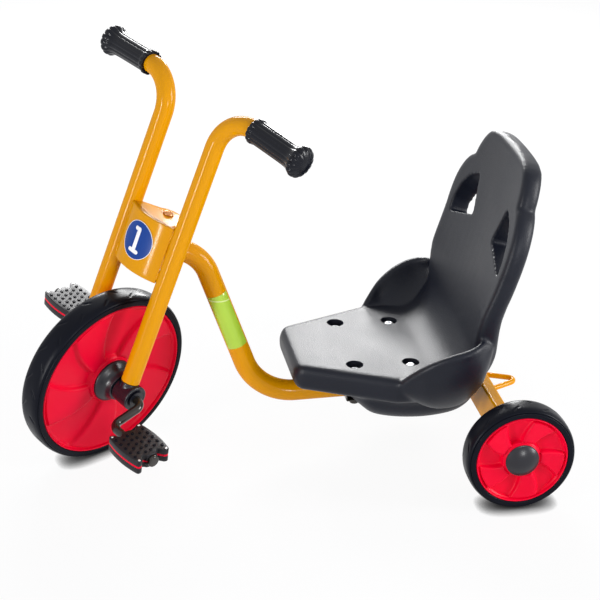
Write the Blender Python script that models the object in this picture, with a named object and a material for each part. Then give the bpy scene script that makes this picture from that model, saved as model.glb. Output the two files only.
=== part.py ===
"""Child's tricycle: a bent tube frame with a low bucket seat, a raked fork with direct pedals, three wheels.

Metres, +Z up. The tricycle faces -Y and its rider's left is +X. The origin is on the floor, under the
middle of the whole length. The fork stands turned to the rider's left, as a rider leaves it.
"""

import math

import bmesh
import bpy
import numpy as np
from mathutils import Matrix, Vector

# Gap between pieces that touch, and the running gap of a shaft in its bush
GAP = 0.0003
RUNNING_GAP = 0.0003

# Layout of the whole tricycle
REAR_AXLE_Y = 0.3345
STEER_REACH = 0.657
RAKE = math.radians(20.0)
REST_STEER = math.radians(34.2)
WHEEL_LEAD = 0.0178

# Front wheel
FRONT_TYRE_RADIUS = 0.150
FRONT_TYRE_HALF_WIDTH = 0.0225
FRONT_RIM_RADIUS = 0.1347
FRONT_WEB_HALF = 0.010
FRONT_BOSS_RADIUS = 0.040

# Rear wheels
REAR_TYRE_RADIUS = 0.0877
REAR_TYRE_HALF_WIDTH = 0.0220
REAR_RIM_RADIUS = 0.0732
REAR_WHEEL_X = 0.2757
REAR_WEB_HALF = 0.009
REAR_BOSS_RADIUS = 0.0300
REAR_HUB_HALF = 0.0205
REAR_WELL_RADIUS = 0.0215
REAR_WELL_FLOOR = 0.0090
REAR_AXLE_RADIUS = 0.0060
REAR_BUSH_WALL = 0.0035
CAP_RADIUS = 0.0267
CAP_RISE = 0.0105
CAP_WALL = 0.0022
RIM_LIP = 0.0045

# Bent frame tube and the head tube that it meets
TUBE_WALL = 0.0020
MAIN_TUBE_RADIUS = 0.0175
MAIN_TUBE_ON_HEAD = 0.235
DOWN_TUBE_FOOT_Y = -0.3668
DOWN_TUBE_ANGLE = math.radians(70.7)
LOW_TUBE_Z = 0.0845
UPPER_BEND_RADIUS = 0.068
LOWER_BEND_RADIUS = 0.090
HEAD_TUBE_RADIUS = 0.0190
HEAD_TUBE_WALL = 0.0040
PIVOT_RADIUS = 0.0050
BUSH_FLANGE = 0.0030
BUSH_SPIGOT = 0.0200

# Rear cross beam, a rectangular tube on edge, and the towing loop behind it
BEAM_DEPTH = 0.020
BEAM_HEIGHT = 0.060
BEAM_CENTRE_Z = REAR_TYRE_RADIUS
PLUG_FLANGE = 0.0050
PLUG_INSERT = 0.0140
AXLE_WASHER = 0.0020
NUT_HEIGHT = 0.0060
LOOP_ROD_RADIUS = 0.0045
LOOP_HALF_SPREAD = 0.036
LOOP_HALF_ANGLE = math.radians(25.0)
LOOP_TIP_RADIUS = 0.0104
LOOP_Z = 0.070

# Fork tubes and handlebar
FORK_TUBE_RADIUS = 0.0150
FORK_HALF_SPREAD = 0.0620
FORK_LEAD = 0.0205
FORK_FOOT = 0.0216
BAR_HEIGHT = 0.4914
BAR_BEND_RADIUS = 0.0580
BAR_SWEEP = math.radians(2.35)
BAR_DROP = math.radians(2.3)
GRIP_START = 0.0612
GRIP_LENGTH = 0.1110
GRIP_RADIUS = 0.0188
GRIP_COLLAR_RADIUS = 0.0205
GRIP_FLARE_RADIUS = 0.0252
GRIP_END_WALL = 0.017

# Head plates between the fork tubes
PLATE_THICKNESS = 0.0030
SHELF_THICKNESS = 0.0040
HEAD_PLATE_LOW = 0.1914
HEAD_PLATE_HIGH = 0.2868
HEAD_PLATE_BULGE = 0.0480
HEAD_PLATE_EDGE = 0.0310
HEAD_PLATE_HALF = 0.0520
SHELF_APEX_RADIUS = 0.0260
DISC_RADIUS = 0.0295
DISC_HEIGHT = 0.2424
DISC_THICKNESS = 0.0012
NUMERAL_THICKNESS = 0.0008
NUMERAL_HEIGHT = 0.0400
NUMERAL_WIDTH = 0.0170
NUMERAL_STEM = 0.0062
NUMERAL_BAR = 0.0058

# Hub housings, crank and pedals
HOUSING_RADIUS = 0.0210
HOUSING_OUTER = 0.0830
COLLAR_RADIUS = 0.0153
HOUSING_INNER = 0.0468
BELL_BASE_RADIUS = 0.0370
BELL_NECK_RADIUS = 0.0235
CRANK_RADIUS = 0.0070
CRANK_BUSH_WALL = 0.0032
CRANK_PLANE = 0.1013
CRANK_FORWARD = 0.0517
CRANK_DOWN = 0.0336
CRANK_BEND_RADIUS = 0.0140
DRIVE_PIN_RADIUS = 0.0030
DRIVE_PIN_HALF = 0.0250
PEDAL_X = 0.1682
PEDAL_TILT_LEFT = math.radians(18.6)
PEDAL_TILT_RIGHT = math.radians(15.8)
PEDAL_HALF_LENGTH = 0.0382
PEDAL_HALF_WIDTH = 0.0298
PEDAL_BULGE = 0.0050
PEDAL_HALF_THICKNESS = 0.0130
PEDAL_LAYER_HALF = 0.0016
PEDAL_SLEEVE_RADIUS = 0.0098
PEDAL_BOSS_RADIUS = 0.0115
PEDAL_BOSS_END = 0.0335
PEDAL_NOTCH_END = 0.0270

# Bucket seat: a bent sheet with two side bolsters, a tub below and two slots through the back
SEAT_FRONT_Y = -0.3170
SEAT_BEND_Y = -0.1060
SEAT_HOLE_Y = -0.1732
SEAT_HOLE_Z = 0.1620
SEAT_TILT = math.radians(2.08)
SEAT_RECLINE = math.radians(16.07)
SEAT_BEND_RADIUS = 0.070
SEAT_HOLE_HALF_X = 0.07875
SEAT_HOLE_HALF_Y = 0.0465
SEAT_RECESS_RADIUS = 0.0140
SEAT_RECESS_DEPTH = 0.0100
SEAT_TOP_Z = 0.5050
SEAT_SHOULDER_Z = 0.4350
SEAT_FRONT_HALF = 0.0770
SEAT_SIDE_HALF = 0.1470
SEAT_BACK_HALF = 0.1720
SEAT_CROWN_HALF = 0.1180
SEAT_FRONT_THICKNESS = 0.0340
SEAT_BEND_THICKNESS = 0.0390
SEAT_BACK_THICKNESS = 0.0330
SEAT_EDGE_RADIUS = 0.0130
SEAT_BACK_HUG = 0.0125
SLOT_CORNER_RADIUS = 0.0080
RAIL_HALF_LENGTH = 0.0885
RAIL_WIDTH = 0.030
RAIL_WALL = 0.0020
BOLT_RADIUS = 0.0040
BOLT_HEAD_RADIUS = 0.0080
BOLT_HEAD_HEIGHT = 0.0045
BOLT_FLANGE_RADIUS = 0.0105
WELD_NUT_RADIUS = 0.0075
WELD_NUT_HEIGHT = 0.0065

# Label on the down tube
LABEL_START = 0.070
LABEL_LENGTH = 0.100
LABEL_THICKNESS = 0.0008
LABEL_HALF_ANGLE = math.radians(62.0)

# Facets round a circle
TUBE_SIDES = 16
ROD_SIDES = 12
FRONT_SIDES = 48
REAR_SIDES = 36
CAP_SIDES = 24

# Finishes: colour, roughness, metallic
FINISHES = {
    "orange_powder_coat": ((0.80, 0.36, 0.02), 0.35, 0.0),
    "red_plastic": ((0.70, 0.00, 0.02), 0.40, 0.0),
    "black_tyre": ((0.012, 0.012, 0.014), 0.35, 0.0),
    "black_grip": ((0.014, 0.014, 0.018), 0.30, 0.0),
    "black_seat": ((0.030, 0.030, 0.034), 0.60, 0.0),
    "black_plastic": ((0.016, 0.016, 0.018), 0.45, 0.0),
    "black_steel": ((0.018, 0.015, 0.013), 0.30, 0.6),
    "zinc_steel": ((0.62, 0.62, 0.64), 0.35, 1.0),
    "copper_steel": ((0.50, 0.28, 0.16), 0.35, 1.0),
    "white_nylon": ((0.75, 0.74, 0.70), 0.50, 0.0),
    "blue_vinyl": ((0.03, 0.09, 0.38), 0.35, 0.0),
    "white_vinyl": ((0.88, 0.88, 0.88), 0.35, 0.0),
    "green_vinyl": ((0.32, 0.62, 0.05), 0.35, 0.0),
}


def clear_scene():
    """Removes whatever the file opened with."""
    for item in list(bpy.data.objects):
        bpy.data.objects.remove(item, do_unlink=True)


def finish_material(name, finish):
    """A Principled material of its own for one piece."""
    colour, roughness, metallic = FINISHES[finish]
    material = bpy.data.materials.new(name + "_" + finish)
    material.use_nodes = True
    shader = material.node_tree.nodes["Principled BSDF"]
    shader.inputs["Base Color"].default_value = (*colour, 1.0)
    shader.inputs["Roughness"].default_value = roughness
    shader.inputs["Metallic"].default_value = metallic
    return material


def add_empty(name, location, rotation=None, parent=None):
    """An empty that carries the pieces of one moving group."""
    empty = bpy.data.objects.new(name, None)
    bpy.context.scene.collection.objects.link(empty)
    empty.location = location
    if rotation is not None:
        empty.rotation_euler = rotation.to_euler()
    empty.parent = parent
    return empty


def add_piece(name, bm, finish, parent=None):
    """Links a mesh as a named piece, with outward faces and smooth round surfaces."""
    bmesh.ops.recalc_face_normals(bm, faces=bm.faces)
    mesh = bpy.data.meshes.new(name)
    bm.to_mesh(mesh)
    bm.free()
    mesh.shade_smooth()
    mesh.set_sharp_from_angle(angle=math.radians(32.0))
    piece = bpy.data.objects.new(name, mesh)
    bpy.context.scene.collection.objects.link(piece)
    if finish is not None:
        mesh.materials.append(finish_material(name, finish))
    piece.parent = parent
    return piece


def apply_tool(piece, bm, operation="DIFFERENCE"):
    """Cuts, or joins, a piece with a hidden tool body given in the piece's own frame."""
    count = len([item for item in bpy.data.objects if item.name.startswith("tool_")])
    tool = add_piece(f"tool_{piece.name}_{count}", bm, None, piece.parent)
    tool.hide_render = True
    tool.display_type = "WIRE"
    boolean = piece.modifiers.new(f"{operation.lower()}_{count}", "BOOLEAN")
    boolean.operation = operation
    boolean.solver = "EXACT"
    boolean.object = tool
    return tool


def bore(radius, sides, gap=GAP):
    """Corner radius of a faceted hole whose flats clear a round shaft by the gap."""
    return (radius + gap) / math.cos(math.pi / sides)


def ring(radius, sides):
    """Points of a circle in the plane of a section, turned so that a flat faces each axis."""
    angles = (np.arange(sides) + 0.5) * 2 * math.pi / sides
    return np.column_stack([radius * np.cos(angles), radius * np.sin(angles)])


def rounded_rectangle(half_x, half_y, radius, steps=3):
    """A rectangle with arcs at its corners."""
    points = []
    for index, (sx, sy) in enumerate(((1, 1), (-1, 1), (-1, -1), (1, -1))):
        for angle in np.linspace(index * math.pi / 2, (index + 1) * math.pi / 2, steps + 1):
            x = sx * (half_x - radius) + radius * math.cos(angle)
            y = sy * (half_y - radius) + radius * math.sin(angle)
            points.append((x, y))
    return np.array(points)


def filleted_path(corners, radii, spacing):
    """Points of a path through straight runs, with an arc of the given radius at each inner corner."""
    corners = [Vector(corner) for corner in corners]
    points = [corners[0]]
    for before, corner, after, radius in zip(corners, corners[1:], corners[2:], radii):
        way_in = (corner - before).normalized()
        way_out = (after - corner).normalized()
        turn = way_in.angle(way_out)
        reach = radius * math.tan(turn / 2)
        side = (way_out - way_in * way_out.dot(way_in)).normalized()
        centre = corner - way_in * reach + side * radius
        steps = max(2, round(radius * turn / spacing))
        for step in range(steps + 1):
            angle = turn * step / steps
            points.append(centre - side * radius * math.cos(angle) + way_in * radius * math.sin(angle))
    points.append(corners[-1])
    return points


def sweep(path, outer, inner=None):
    """Carries a section along a path in one plane or nearly so: a rod, or a tube with an inner section."""
    bm = bmesh.new()
    path = [Vector(point) for point in path]
    count = len(path)
    tangents = []
    for index in range(count):
        ahead = path[min(index + 1, count - 1)] - path[index]
        behind = path[index] - path[max(index - 1, 0)]
        if index == 0:
            behind = ahead
        if index == count - 1:
            ahead = behind
        tangents.append((ahead.normalized() + behind.normalized()).normalized())
    start = Vector((0, 0, 1)) if abs(tangents[0].z) < 0.9 else Vector((1, 0, 0))
    normal = (start - tangents[0] * start.dot(tangents[0])).normalized()
    rings = {"outer": [], "inner": []}
    for index, (point, tangent) in enumerate(zip(path, tangents)):
        if index:
            turn = tangents[index - 1].rotation_difference(tangent)
            normal = (turn @ normal).normalized()
        across = tangent.cross(normal)
        stretch = 1.0
        if 0 < index < count - 1:
            bend = (path[index + 1] - point).angle(point - path[index - 1], 0.0)
            stretch = 1.0 / math.cos(bend / 2)
        for kind, section in (("outer", outer), ("inner", inner)):
            if section is not None:
                rings[kind].append(
                    [bm.verts.new(point + stretch * normal * x + across * y) for x, y in section]
                )
    for kind in rings:
        for first, second in zip(rings[kind], rings[kind][1:]):
            for a in range(len(first)):
                b = (a + 1) % len(first)
                bm.faces.new((first[a], first[b], second[b], second[a]))
    for end in (0, -1):
        rim = rings["outer"][end]
        if inner is None:
            bm.faces.new(rim)
        else:
            hole = rings["inner"][end]
            for a in range(len(rim)):
                b = (a + 1) % len(rim)
                bm.faces.new((rim[a], rim[b], hole[b], hole[a]))
    return bm


def slide_end(bm, plane_y, near_y, direction):
    """Slides the end ring that lies near one plane along its own run, so that the end is flat on it."""
    for vert in bm.verts:
        if abs(vert.co.y - near_y) < LOOP_ROD_RADIUS * 1.2:
            vert.co += direction(vert.co) * ((plane_y - vert.co.y) / direction(vert.co).y)


def lathe(profile, sides, axis="X"):
    """Turns a closed profile of (distance along, radius) about the axis; a point on the axis is a pole."""
    bm = bmesh.new()
    verts = [bm.verts.new((along, radius, 0.0)) for along, radius in profile]
    edges = [bm.edges.new((verts[a], verts[(a + 1) % len(verts)])) for a in range(len(verts))]
    on_axis = [edge for edge in edges if max(abs(vert.co.y) for vert in edge.verts) < 1e-7]
    for edge in on_axis:
        bm.edges.remove(edge)
    geom = list(bm.verts) + list(bm.edges)
    bmesh.ops.spin(bm, geom=geom, cent=(0, 0, 0), axis=(1, 0, 0), angle=2 * math.pi, steps=sides, use_merge=True)
    bmesh.ops.remove_doubles(bm, verts=bm.verts, dist=1e-6)
    if axis == "Z":
        bmesh.ops.transform(bm, matrix=Matrix.Rotation(-math.pi / 2, 4, "Y"), verts=bm.verts)
    if axis == "Y":
        bmesh.ops.transform(bm, matrix=Matrix.Rotation(math.pi / 2, 4, "Z"), verts=bm.verts)
    return bm


def tube_profile(start, end, outer, inner):
    """Profile of a plain turned sleeve."""
    return [(start, inner), (end, inner), (end, outer), (start, outer)]


def rod_profile(start, end, radius):
    """Profile of a plain turned rod."""
    return [(start, 0.0), (end, 0.0), (end, radius), (start, radius)]


def prism(outline, low, high):
    """A flat outline raised from one height to another along Z."""
    bm = bmesh.new()
    base = [bm.verts.new((x, y, low)) for x, y in outline]
    top = [bm.verts.new((x, y, high)) for x, y in outline]
    bm.faces.new(base)
    bm.faces.new(top)
    for a in range(len(base)):
        b = (a + 1) % len(base)
        bm.faces.new((base[a], base[b], top[b], top[a]))
    return bm


def box(low, high):
    """A plain block between two corners."""
    outline = [(low[0], low[1]), (high[0], low[1]), (high[0], high[1]), (low[0], high[1])]
    return prism(outline, low[2], high[2])


def moved(bm, offset, rotation=None):
    """The same mesh turned and then moved."""
    matrix = Matrix.Translation(offset)
    if rotation is not None:
        matrix = matrix @ rotation.to_4x4()
    bmesh.ops.transform(bm, matrix=matrix, verts=bm.verts)
    return bm


def joined(parts):
    """One mesh that holds several separate bodies, such as a set of equal screws."""
    whole = bmesh.new()
    for part in parts:
        mesh = bpy.data.meshes.new("part")
        part.to_mesh(mesh)
        part.free()
        whole.from_mesh(mesh)
        bpy.data.meshes.remove(mesh)
    return whole


def nut(radius, hole, height):
    """A hexagonal nut standing on its lower face, as a ring of six sides."""
    bm = bmesh.new()
    sides = 12
    angles = np.arange(sides) * 2 * math.pi / sides
    outer = [radius * (1.0 if index % 2 == 0 else math.cos(math.pi / 6)) for index in range(sides)]
    levels = []
    for z in (0.0, height):
        rim = [bm.verts.new((r * math.cos(t), r * math.sin(t), z)) for r, t in zip(outer, angles)]
        eye = [bm.verts.new((hole * math.cos(t), hole * math.sin(t), z)) for t in angles]
        levels.append((rim, eye))
    (low_rim, low_eye), (high_rim, high_eye) = levels
    for a in range(sides):
        b = (a + 1) % sides
        bm.faces.new((low_rim[a], low_rim[b], high_rim[b], high_rim[a]))
        bm.faces.new((low_eye[a], low_eye[b], high_eye[b], high_eye[a]))
        bm.faces.new((low_rim[a], low_rim[b], low_eye[b], low_eye[a]))
        bm.faces.new((high_rim[a], high_rim[b], high_eye[b], high_eye[a]))
    return bm


def loft(sections, cap_start=True, cap_end=True):
    """Joins a row of closed sections; a section of one point closes that end in a pole."""
    bm = bmesh.new()
    rings = [[bm.verts.new(point) for point in section] for section in sections]
    for first, second in zip(rings, rings[1:]):
        count = max(len(first), len(second))
        for a in range(count):
            b = (a + 1) % count
            if len(first) == 1:
                bm.faces.new((first[0], second[b], second[a]))
            elif len(second) == 1:
                bm.faces.new((first[a], first[b], second[0]))
            else:
                bm.faces.new((first[a], first[b], second[b], second[a]))
    if cap_start and len(rings[0]) > 2:
        bm.faces.new(rings[0])
    if cap_end and len(rings[-1]) > 2:
        bm.faces.new(rings[-1])
    return bm


def smooth_curve(points, count):
    """Points at equal steps on a Catmull-Rom curve through the given points."""
    points = np.array(points, float)
    padded = np.vstack([2 * points[0] - points[1], points, 2 * points[-1] - points[-2]])
    values = []
    for t in np.linspace(0, len(points) - 1, count):
        index = min(int(t), len(points) - 2)
        u = t - index
        a, b, c, d = padded[index : index + 4]
        values.append(
            0.5 * (2 * b + (c - a) * u + (2 * a - 5 * b + 4 * c - d) * u**2 + (3 * b - a - 3 * c + d) * u**3)
        )
    return np.array(values)


def behind_axle(y):
    """A Y measured from the rear axle, negative towards the front, in the tricycle's frame."""
    return REAR_AXLE_Y + y


# Tyres

def tyre_profile(tyre_radius, half_width, rim_radius):
    """Solid tyre section: crowned tread, a shoulder and a flat side wall down to the rim."""
    seat = rim_radius + GAP
    wall = tyre_radius - rim_radius
    right = [
        (half_width, seat),
        (half_width, rim_radius + 0.55 * wall),
        (0.80 * half_width, tyre_radius - 0.21 * wall),
        (0.45 * half_width, tyre_radius - 0.045 * wall),
        (0.0, tyre_radius),
    ]
    left = [(-along, radius) for along, radius in reversed(right[:-1])]
    return right + left


def tilted_wheel_height(profile, tilt):
    """Height of a tilted wheel's centre above the floor that its tyre stands on."""
    return max(radius * math.cos(tilt) + abs(along) * math.sin(tilt) for along, radius in profile)


# The steered frame: its origin is where the steering axis meets the floor, +Z runs up the axis
STEER_TURN = Matrix.Rotation(-RAKE, 3, "X") @ Matrix.Rotation(REST_STEER, 3, "Z")
AXLE_DIRECTION = STEER_TURN @ Vector((1, 0, 0))
FORWARD_DIRECTION = STEER_TURN @ Vector((0, -1, 0))
FRONT_PROFILE = tyre_profile(FRONT_TYRE_RADIUS, FRONT_TYRE_HALF_WIDTH, FRONT_RIM_RADIUS)
FRONT_WHEEL_HEIGHT = tilted_wheel_height(FRONT_PROFILE, math.asin(abs(AXLE_DIRECTION.z)))
AXLE_ALONG = (FRONT_WHEEL_HEIGHT - WHEEL_LEAD * FORWARD_DIRECTION.z) / math.cos(RAKE)
STEER_FOOT = Vector((0, REAR_AXLE_Y - STEER_REACH, 0))
STEER_AXIS = Vector((0, math.sin(RAKE), math.cos(RAKE)))


def on_fork(across, ahead, above):
    """A place on the fork: across to the left, ahead of the axis, and above the front axle along it."""
    return Vector((across, -ahead, AXLE_ALONG + above))


def shelf_arc(across):
    """How far ahead of the axis the outer face of the curved head plate lies."""
    rise = HEAD_PLATE_BULGE - HEAD_PLATE_EDGE
    radius = (HEAD_PLATE_HALF**2 + rise**2) / (2 * rise)
    return radius, HEAD_PLATE_BULGE - radius


# Frame

def main_tube_corners():
    """Corners of the bent tube's centreline, from the head tube to the rear beam."""
    head = STEER_FOOT + STEER_AXIS * (AXLE_ALONG + MAIN_TUBE_ON_HEAD)
    away = Vector((0, math.cos(RAKE), -math.sin(RAKE)))
    down = Vector((0, math.cos(DOWN_TUBE_ANGLE), -math.sin(DOWN_TUBE_ANGLE)))
    foot = Vector((0, behind_axle(DOWN_TUBE_FOOT_Y), LOW_TUBE_Z))
    gap = foot - head
    scale = away.y * down.z - away.z * down.y
    run = (gap.y * down.z - gap.z * down.y) / scale
    corner = head + away * run
    end = Vector((0, behind_axle(-BEAM_DEPTH / 2 - GAP), LOW_TUBE_Z))
    return head, corner, foot, end


def build_main_tube():
    head, corner, foot, end = main_tube_corners()
    path = filleted_path([head, corner, foot, end], [UPPER_BEND_RADIUS, LOWER_BEND_RADIUS], 0.011)
    tube = add_piece(
        "main_tube",
        sweep(path, ring(MAIN_TUBE_RADIUS, TUBE_SIDES), ring(MAIN_TUBE_RADIUS - TUBE_WALL, TUBE_SIDES)),
        "orange_powder_coat",
    )
    cope = lathe(rod_profile(-0.06, 0.06, HEAD_TUBE_RADIUS + 1.5 * GAP), 32, "Z")
    apply_tool(tube, moved(cope, head, Matrix.Rotation(-RAKE, 3, "X")))


def head_heights():
    """Heights of the head tube's two ends above the front axle."""
    low = HEAD_PLATE_LOW + SHELF_THICKNESS + BUSH_FLANGE + 3 * GAP
    high = HEAD_PLATE_HIGH - SHELF_THICKNESS - BUSH_FLANGE - 3 * GAP
    return low, high


def build_head(head_frame):
    low, high = head_heights()
    inner = HEAD_TUBE_RADIUS - HEAD_TUBE_WALL
    profile = tube_profile(AXLE_ALONG + low, AXLE_ALONG + high, HEAD_TUBE_RADIUS, inner)
    add_piece("head_tube", lathe(profile, 32, "Z"), "orange_powder_coat", head_frame)
    hole = bore(PIVOT_RADIUS, TUBE_SIDES, RUNNING_GAP)
    spigot = (inner - GAP) * math.cos(math.pi / 32) - GAP
    for name, end, out in (("steering_bush_top", high, 1), ("steering_bush_bottom", low, -1)):
        face = AXLE_ALONG + end + out * GAP
        profile = [
            (face - out * BUSH_SPIGOT, hole),
            (face + out * BUSH_FLANGE, hole),
            (face + out * BUSH_FLANGE, HEAD_TUBE_RADIUS - 0.0008),
            (face, HEAD_TUBE_RADIUS - 0.0008),
            (face, spigot),
            (face - out * BUSH_SPIGOT, spigot),
        ]
        add_piece(name, lathe(profile, TUBE_SIDES, "Z"), "white_nylon", head_frame)


def rear_chain():
    """Distances from the middle of the tricycle out along the rear axle, each piece against the last."""
    hub_inner = REAR_WHEEL_X - REAR_HUB_HALF
    flange_inner = hub_inner - GAP - PLUG_FLANGE
    beam_end = flange_inner - GAP
    floor = REAR_WHEEL_X + REAR_WELL_FLOOR
    nut_start = floor + GAP + AXLE_WASHER + GAP
    axle_end = nut_start + NUT_HEIGHT + 0.001
    return {
        "beam_end": beam_end,
        "flange": flange_inner,
        "washer": floor + GAP,
        "nut": nut_start,
        "axle_end": axle_end,
    }


def build_rear_beam():
    chain = rear_chain()
    centre = Vector((0, REAR_AXLE_Y, BEAM_CENTRE_Z))
    half = Vector((chain["beam_end"], 0, 0))
    outer = rounded_rectangle(BEAM_HEIGHT / 2, BEAM_DEPTH / 2, 0.003, 2)
    inner = rounded_rectangle(BEAM_HEIGHT / 2 - TUBE_WALL, BEAM_DEPTH / 2 - TUBE_WALL, 0.001, 2)
    add_piece("rear_beam", sweep([centre - half, centre + half], outer, inner), "orange_powder_coat")
    hole = bore(REAR_AXLE_RADIUS, TUBE_SIDES)
    for name, side in (("beam_plug_left", 1), ("beam_plug_right", -1)):
        facing = Matrix.Rotation(side * math.pi / 2, 3, "Y")
        place = Vector((side * chain["flange"], REAR_AXLE_Y, BEAM_CENTRE_Z))
        flange = prism(rounded_rectangle(BEAM_HEIGHT / 2, BEAM_DEPTH / 2, 0.003, 2), 0, PLUG_FLANGE)
        plug = add_piece(name, moved(flange, place, facing), "black_plastic")
        insert = prism(
            rounded_rectangle(BEAM_HEIGHT / 2 - TUBE_WALL - GAP, BEAM_DEPTH / 2 - TUBE_WALL - GAP, 0.001, 2),
            -PLUG_INSERT,
            0.5 * PLUG_FLANGE,
        )
        apply_tool(plug, moved(insert, place, facing), "UNION")
        drill = lathe(rod_profile(-0.05, 0.05, hole), TUBE_SIDES)
        apply_tool(plug, moved(drill, place))


def build_hitch_loop():
    start_y = BEAM_DEPTH / 2 + GAP
    depth = LOOP_HALF_SPREAD / math.tan(LOOP_HALF_ANGLE)
    left = Vector((LOOP_HALF_SPREAD, behind_axle(start_y), LOOP_Z))
    right = Vector((-LOOP_HALF_SPREAD, behind_axle(start_y), LOOP_Z))
    tip = Vector((0, behind_axle(start_y + depth), LOOP_Z))
    bm = sweep(filleted_path([left, tip, right], [LOOP_TIP_RADIUS], 0.004), ring(LOOP_ROD_RADIUS, ROD_SIDES))
    lean = math.tan(LOOP_HALF_ANGLE)
    slide_end(bm, left.y, left.y, lambda place: Vector((-math.copysign(lean, place.x), 1, 0)))
    add_piece("hitch_loop", bm, "orange_powder_coat")


def build_rear_axle():
    chain = rear_chain()
    centre = Vector((0, REAR_AXLE_Y, BEAM_CENTRE_Z))
    rod = lathe(rod_profile(-chain["axle_end"], chain["axle_end"], REAR_AXLE_RADIUS), ROD_SIDES)
    add_piece("rear_axle", moved(rod, centre), "zinc_steel")
    hole = bore(REAR_AXLE_RADIUS, TUBE_SIDES)
    for side_name, side in (("left", 1), ("right", -1)):
        start = side * chain["washer"]
        washer = lathe(tube_profile(start, start + side * AXLE_WASHER, 0.0095, hole), TUBE_SIDES)
        add_piece(f"axle_washer_{side_name}", moved(washer, centre), "zinc_steel")
        facing = Matrix.Rotation(side * math.pi / 2, 3, "Y")
        nut_body = nut(0.0098, bore(REAR_AXLE_RADIUS, 12), NUT_HEIGHT)
        place = centre + Vector((side * chain["nut"], 0, 0))
        add_piece(f"axle_nut_{side_name}", moved(nut_body, place, facing), "zinc_steel")


# Rear wheels

def rim_profile(rim_radius, half_width, web_half, boss_radius, hub_half, bore_radius, well=None):
    """Section of a moulded wheel: lips at both faces, a thick web between them and a raised boss."""
    lip = RIM_LIP
    slope = half_width - web_half
    outside = [
        (half_width, rim_radius),
        (half_width, rim_radius - lip),
        (web_half, rim_radius - lip - 0.8 * slope),
        (web_half, boss_radius + 0.5 * slope),
        (hub_half, boss_radius),
    ]
    inside = [(-along, radius) for along, radius in reversed(outside)]
    if well is None:
        middle = [(hub_half, bore_radius)]
    else:
        well_radius, well_floor = well
        middle = [(hub_half, well_radius), (well_floor, well_radius), (well_floor, bore_radius)]
    return outside + middle + [(-hub_half, bore_radius)] + inside


def build_rear_wheel(side_name, side):
    axle = add_empty(
        "rear_wheel_" + side_name,
        (side * REAR_WHEEL_X, REAR_AXLE_Y, REAR_TYRE_RADIUS),
        Matrix.Rotation(0.0 if side > 0 else math.pi, 3, "Z"),
    )
    tyre = tyre_profile(REAR_TYRE_RADIUS, REAR_TYRE_HALF_WIDTH, REAR_RIM_RADIUS)
    add_piece(f"rear_tyre_{side_name}", lathe(tyre, REAR_SIDES), "black_tyre", axle)
    bush_outer = REAR_AXLE_RADIUS + REAR_BUSH_WALL
    profile = rim_profile(
        REAR_RIM_RADIUS * math.cos(math.pi / REAR_SIDES),
        REAR_TYRE_HALF_WIDTH,
        REAR_WEB_HALF,
        REAR_BOSS_RADIUS,
        REAR_HUB_HALF,
        bore(bush_outer, REAR_SIDES),
        (REAR_WELL_RADIUS, REAR_WELL_FLOOR),
    )
    add_piece(f"rear_rim_{side_name}", lathe(profile, REAR_SIDES), "red_plastic", axle)
    hole = bore(REAR_AXLE_RADIUS, TUBE_SIDES, RUNNING_GAP)
    sleeve = tube_profile(-REAR_HUB_HALF, REAR_WELL_FLOOR, bush_outer, hole)
    add_piece(f"rear_bush_{side_name}", lathe(sleeve, TUBE_SIDES), "white_nylon", axle)
    base = REAR_HUB_HALF + GAP
    skirt = (REAR_WELL_RADIUS - GAP) * math.cos(math.pi / REAR_SIDES)
    dome = []
    steps = 4
    for step in range(steps + 1):
        angle = step / steps * math.pi / 2
        along = base + CAP_RISE * math.sin(angle)
        radius = CAP_RADIUS * math.cos(angle)
        dome.append((along, 0.0 if step == steps else radius))
    room = rear_chain()["axle_end"] - REAR_WHEEL_X + 0.0015
    hollow = [(room, 0.0), (room, skirt - CAP_WALL), (base - 0.006, skirt - CAP_WALL), (base - 0.006, skirt), (base, skirt)]
    cap = hollow + dome
    add_piece(f"hub_cap_{side_name}", lathe(cap, CAP_SIDES), "black_plastic", axle)


# Fork

def bar_direction(side):
    """Direction of one handlebar end, out to its side, a little back and down."""
    level = math.cos(BAR_DROP)
    return Vector((side * level * math.cos(BAR_SWEEP), level * math.sin(BAR_SWEEP), -math.sin(BAR_DROP)))


def build_fork_tube(side_name, side, fork):
    foot = on_fork(side * FORK_HALF_SPREAD, FORK_LEAD, FORK_FOOT)
    corner = on_fork(side * FORK_HALF_SPREAD, FORK_LEAD, BAR_HEIGHT)
    end = corner + bar_direction(side) * (GRIP_START + GRIP_LENGTH - GRIP_END_WALL - GAP)
    path = filleted_path([foot, corner, end], [BAR_BEND_RADIUS], 0.010)
    outer = ring(FORK_TUBE_RADIUS, TUBE_SIDES)
    inner = ring(FORK_TUBE_RADIUS - TUBE_WALL, TUBE_SIDES)
    add_piece(f"fork_tube_{side_name}", sweep(path, outer, inner), "orange_powder_coat", fork)
    hole = bore(FORK_TUBE_RADIUS, 24)
    length = GRIP_LENGTH
    profile = [
        (0.0, hole),
        (0.0, GRIP_COLLAR_RADIUS),
        (0.007, GRIP_COLLAR_RADIUS),
        (0.010, GRIP_RADIUS),
        (length * 0.74, GRIP_RADIUS),
        (length * 0.82, 0.5 * (GRIP_RADIUS + GRIP_FLARE_RADIUS) - 0.0012),
        (length * 0.87, GRIP_FLARE_RADIUS),
        (length * 0.93, GRIP_FLARE_RADIUS * 0.985),
        (length * 0.97, GRIP_FLARE_RADIUS * 0.80),
        (length * 0.99, GRIP_FLARE_RADIUS * 0.50),
        (length, 0.0),
        (length - GRIP_END_WALL, 0.0),
        (length - GRIP_END_WALL, hole),
    ]
    grip = add_piece(f"grip_{side_name}", lathe(profile, 24), "black_grip", fork)
    direction = bar_direction(side)
    grip.location = corner + direction * GRIP_START
    grip.rotation_euler = Vector((1, 0, 0)).rotation_difference(direction).to_euler()


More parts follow.
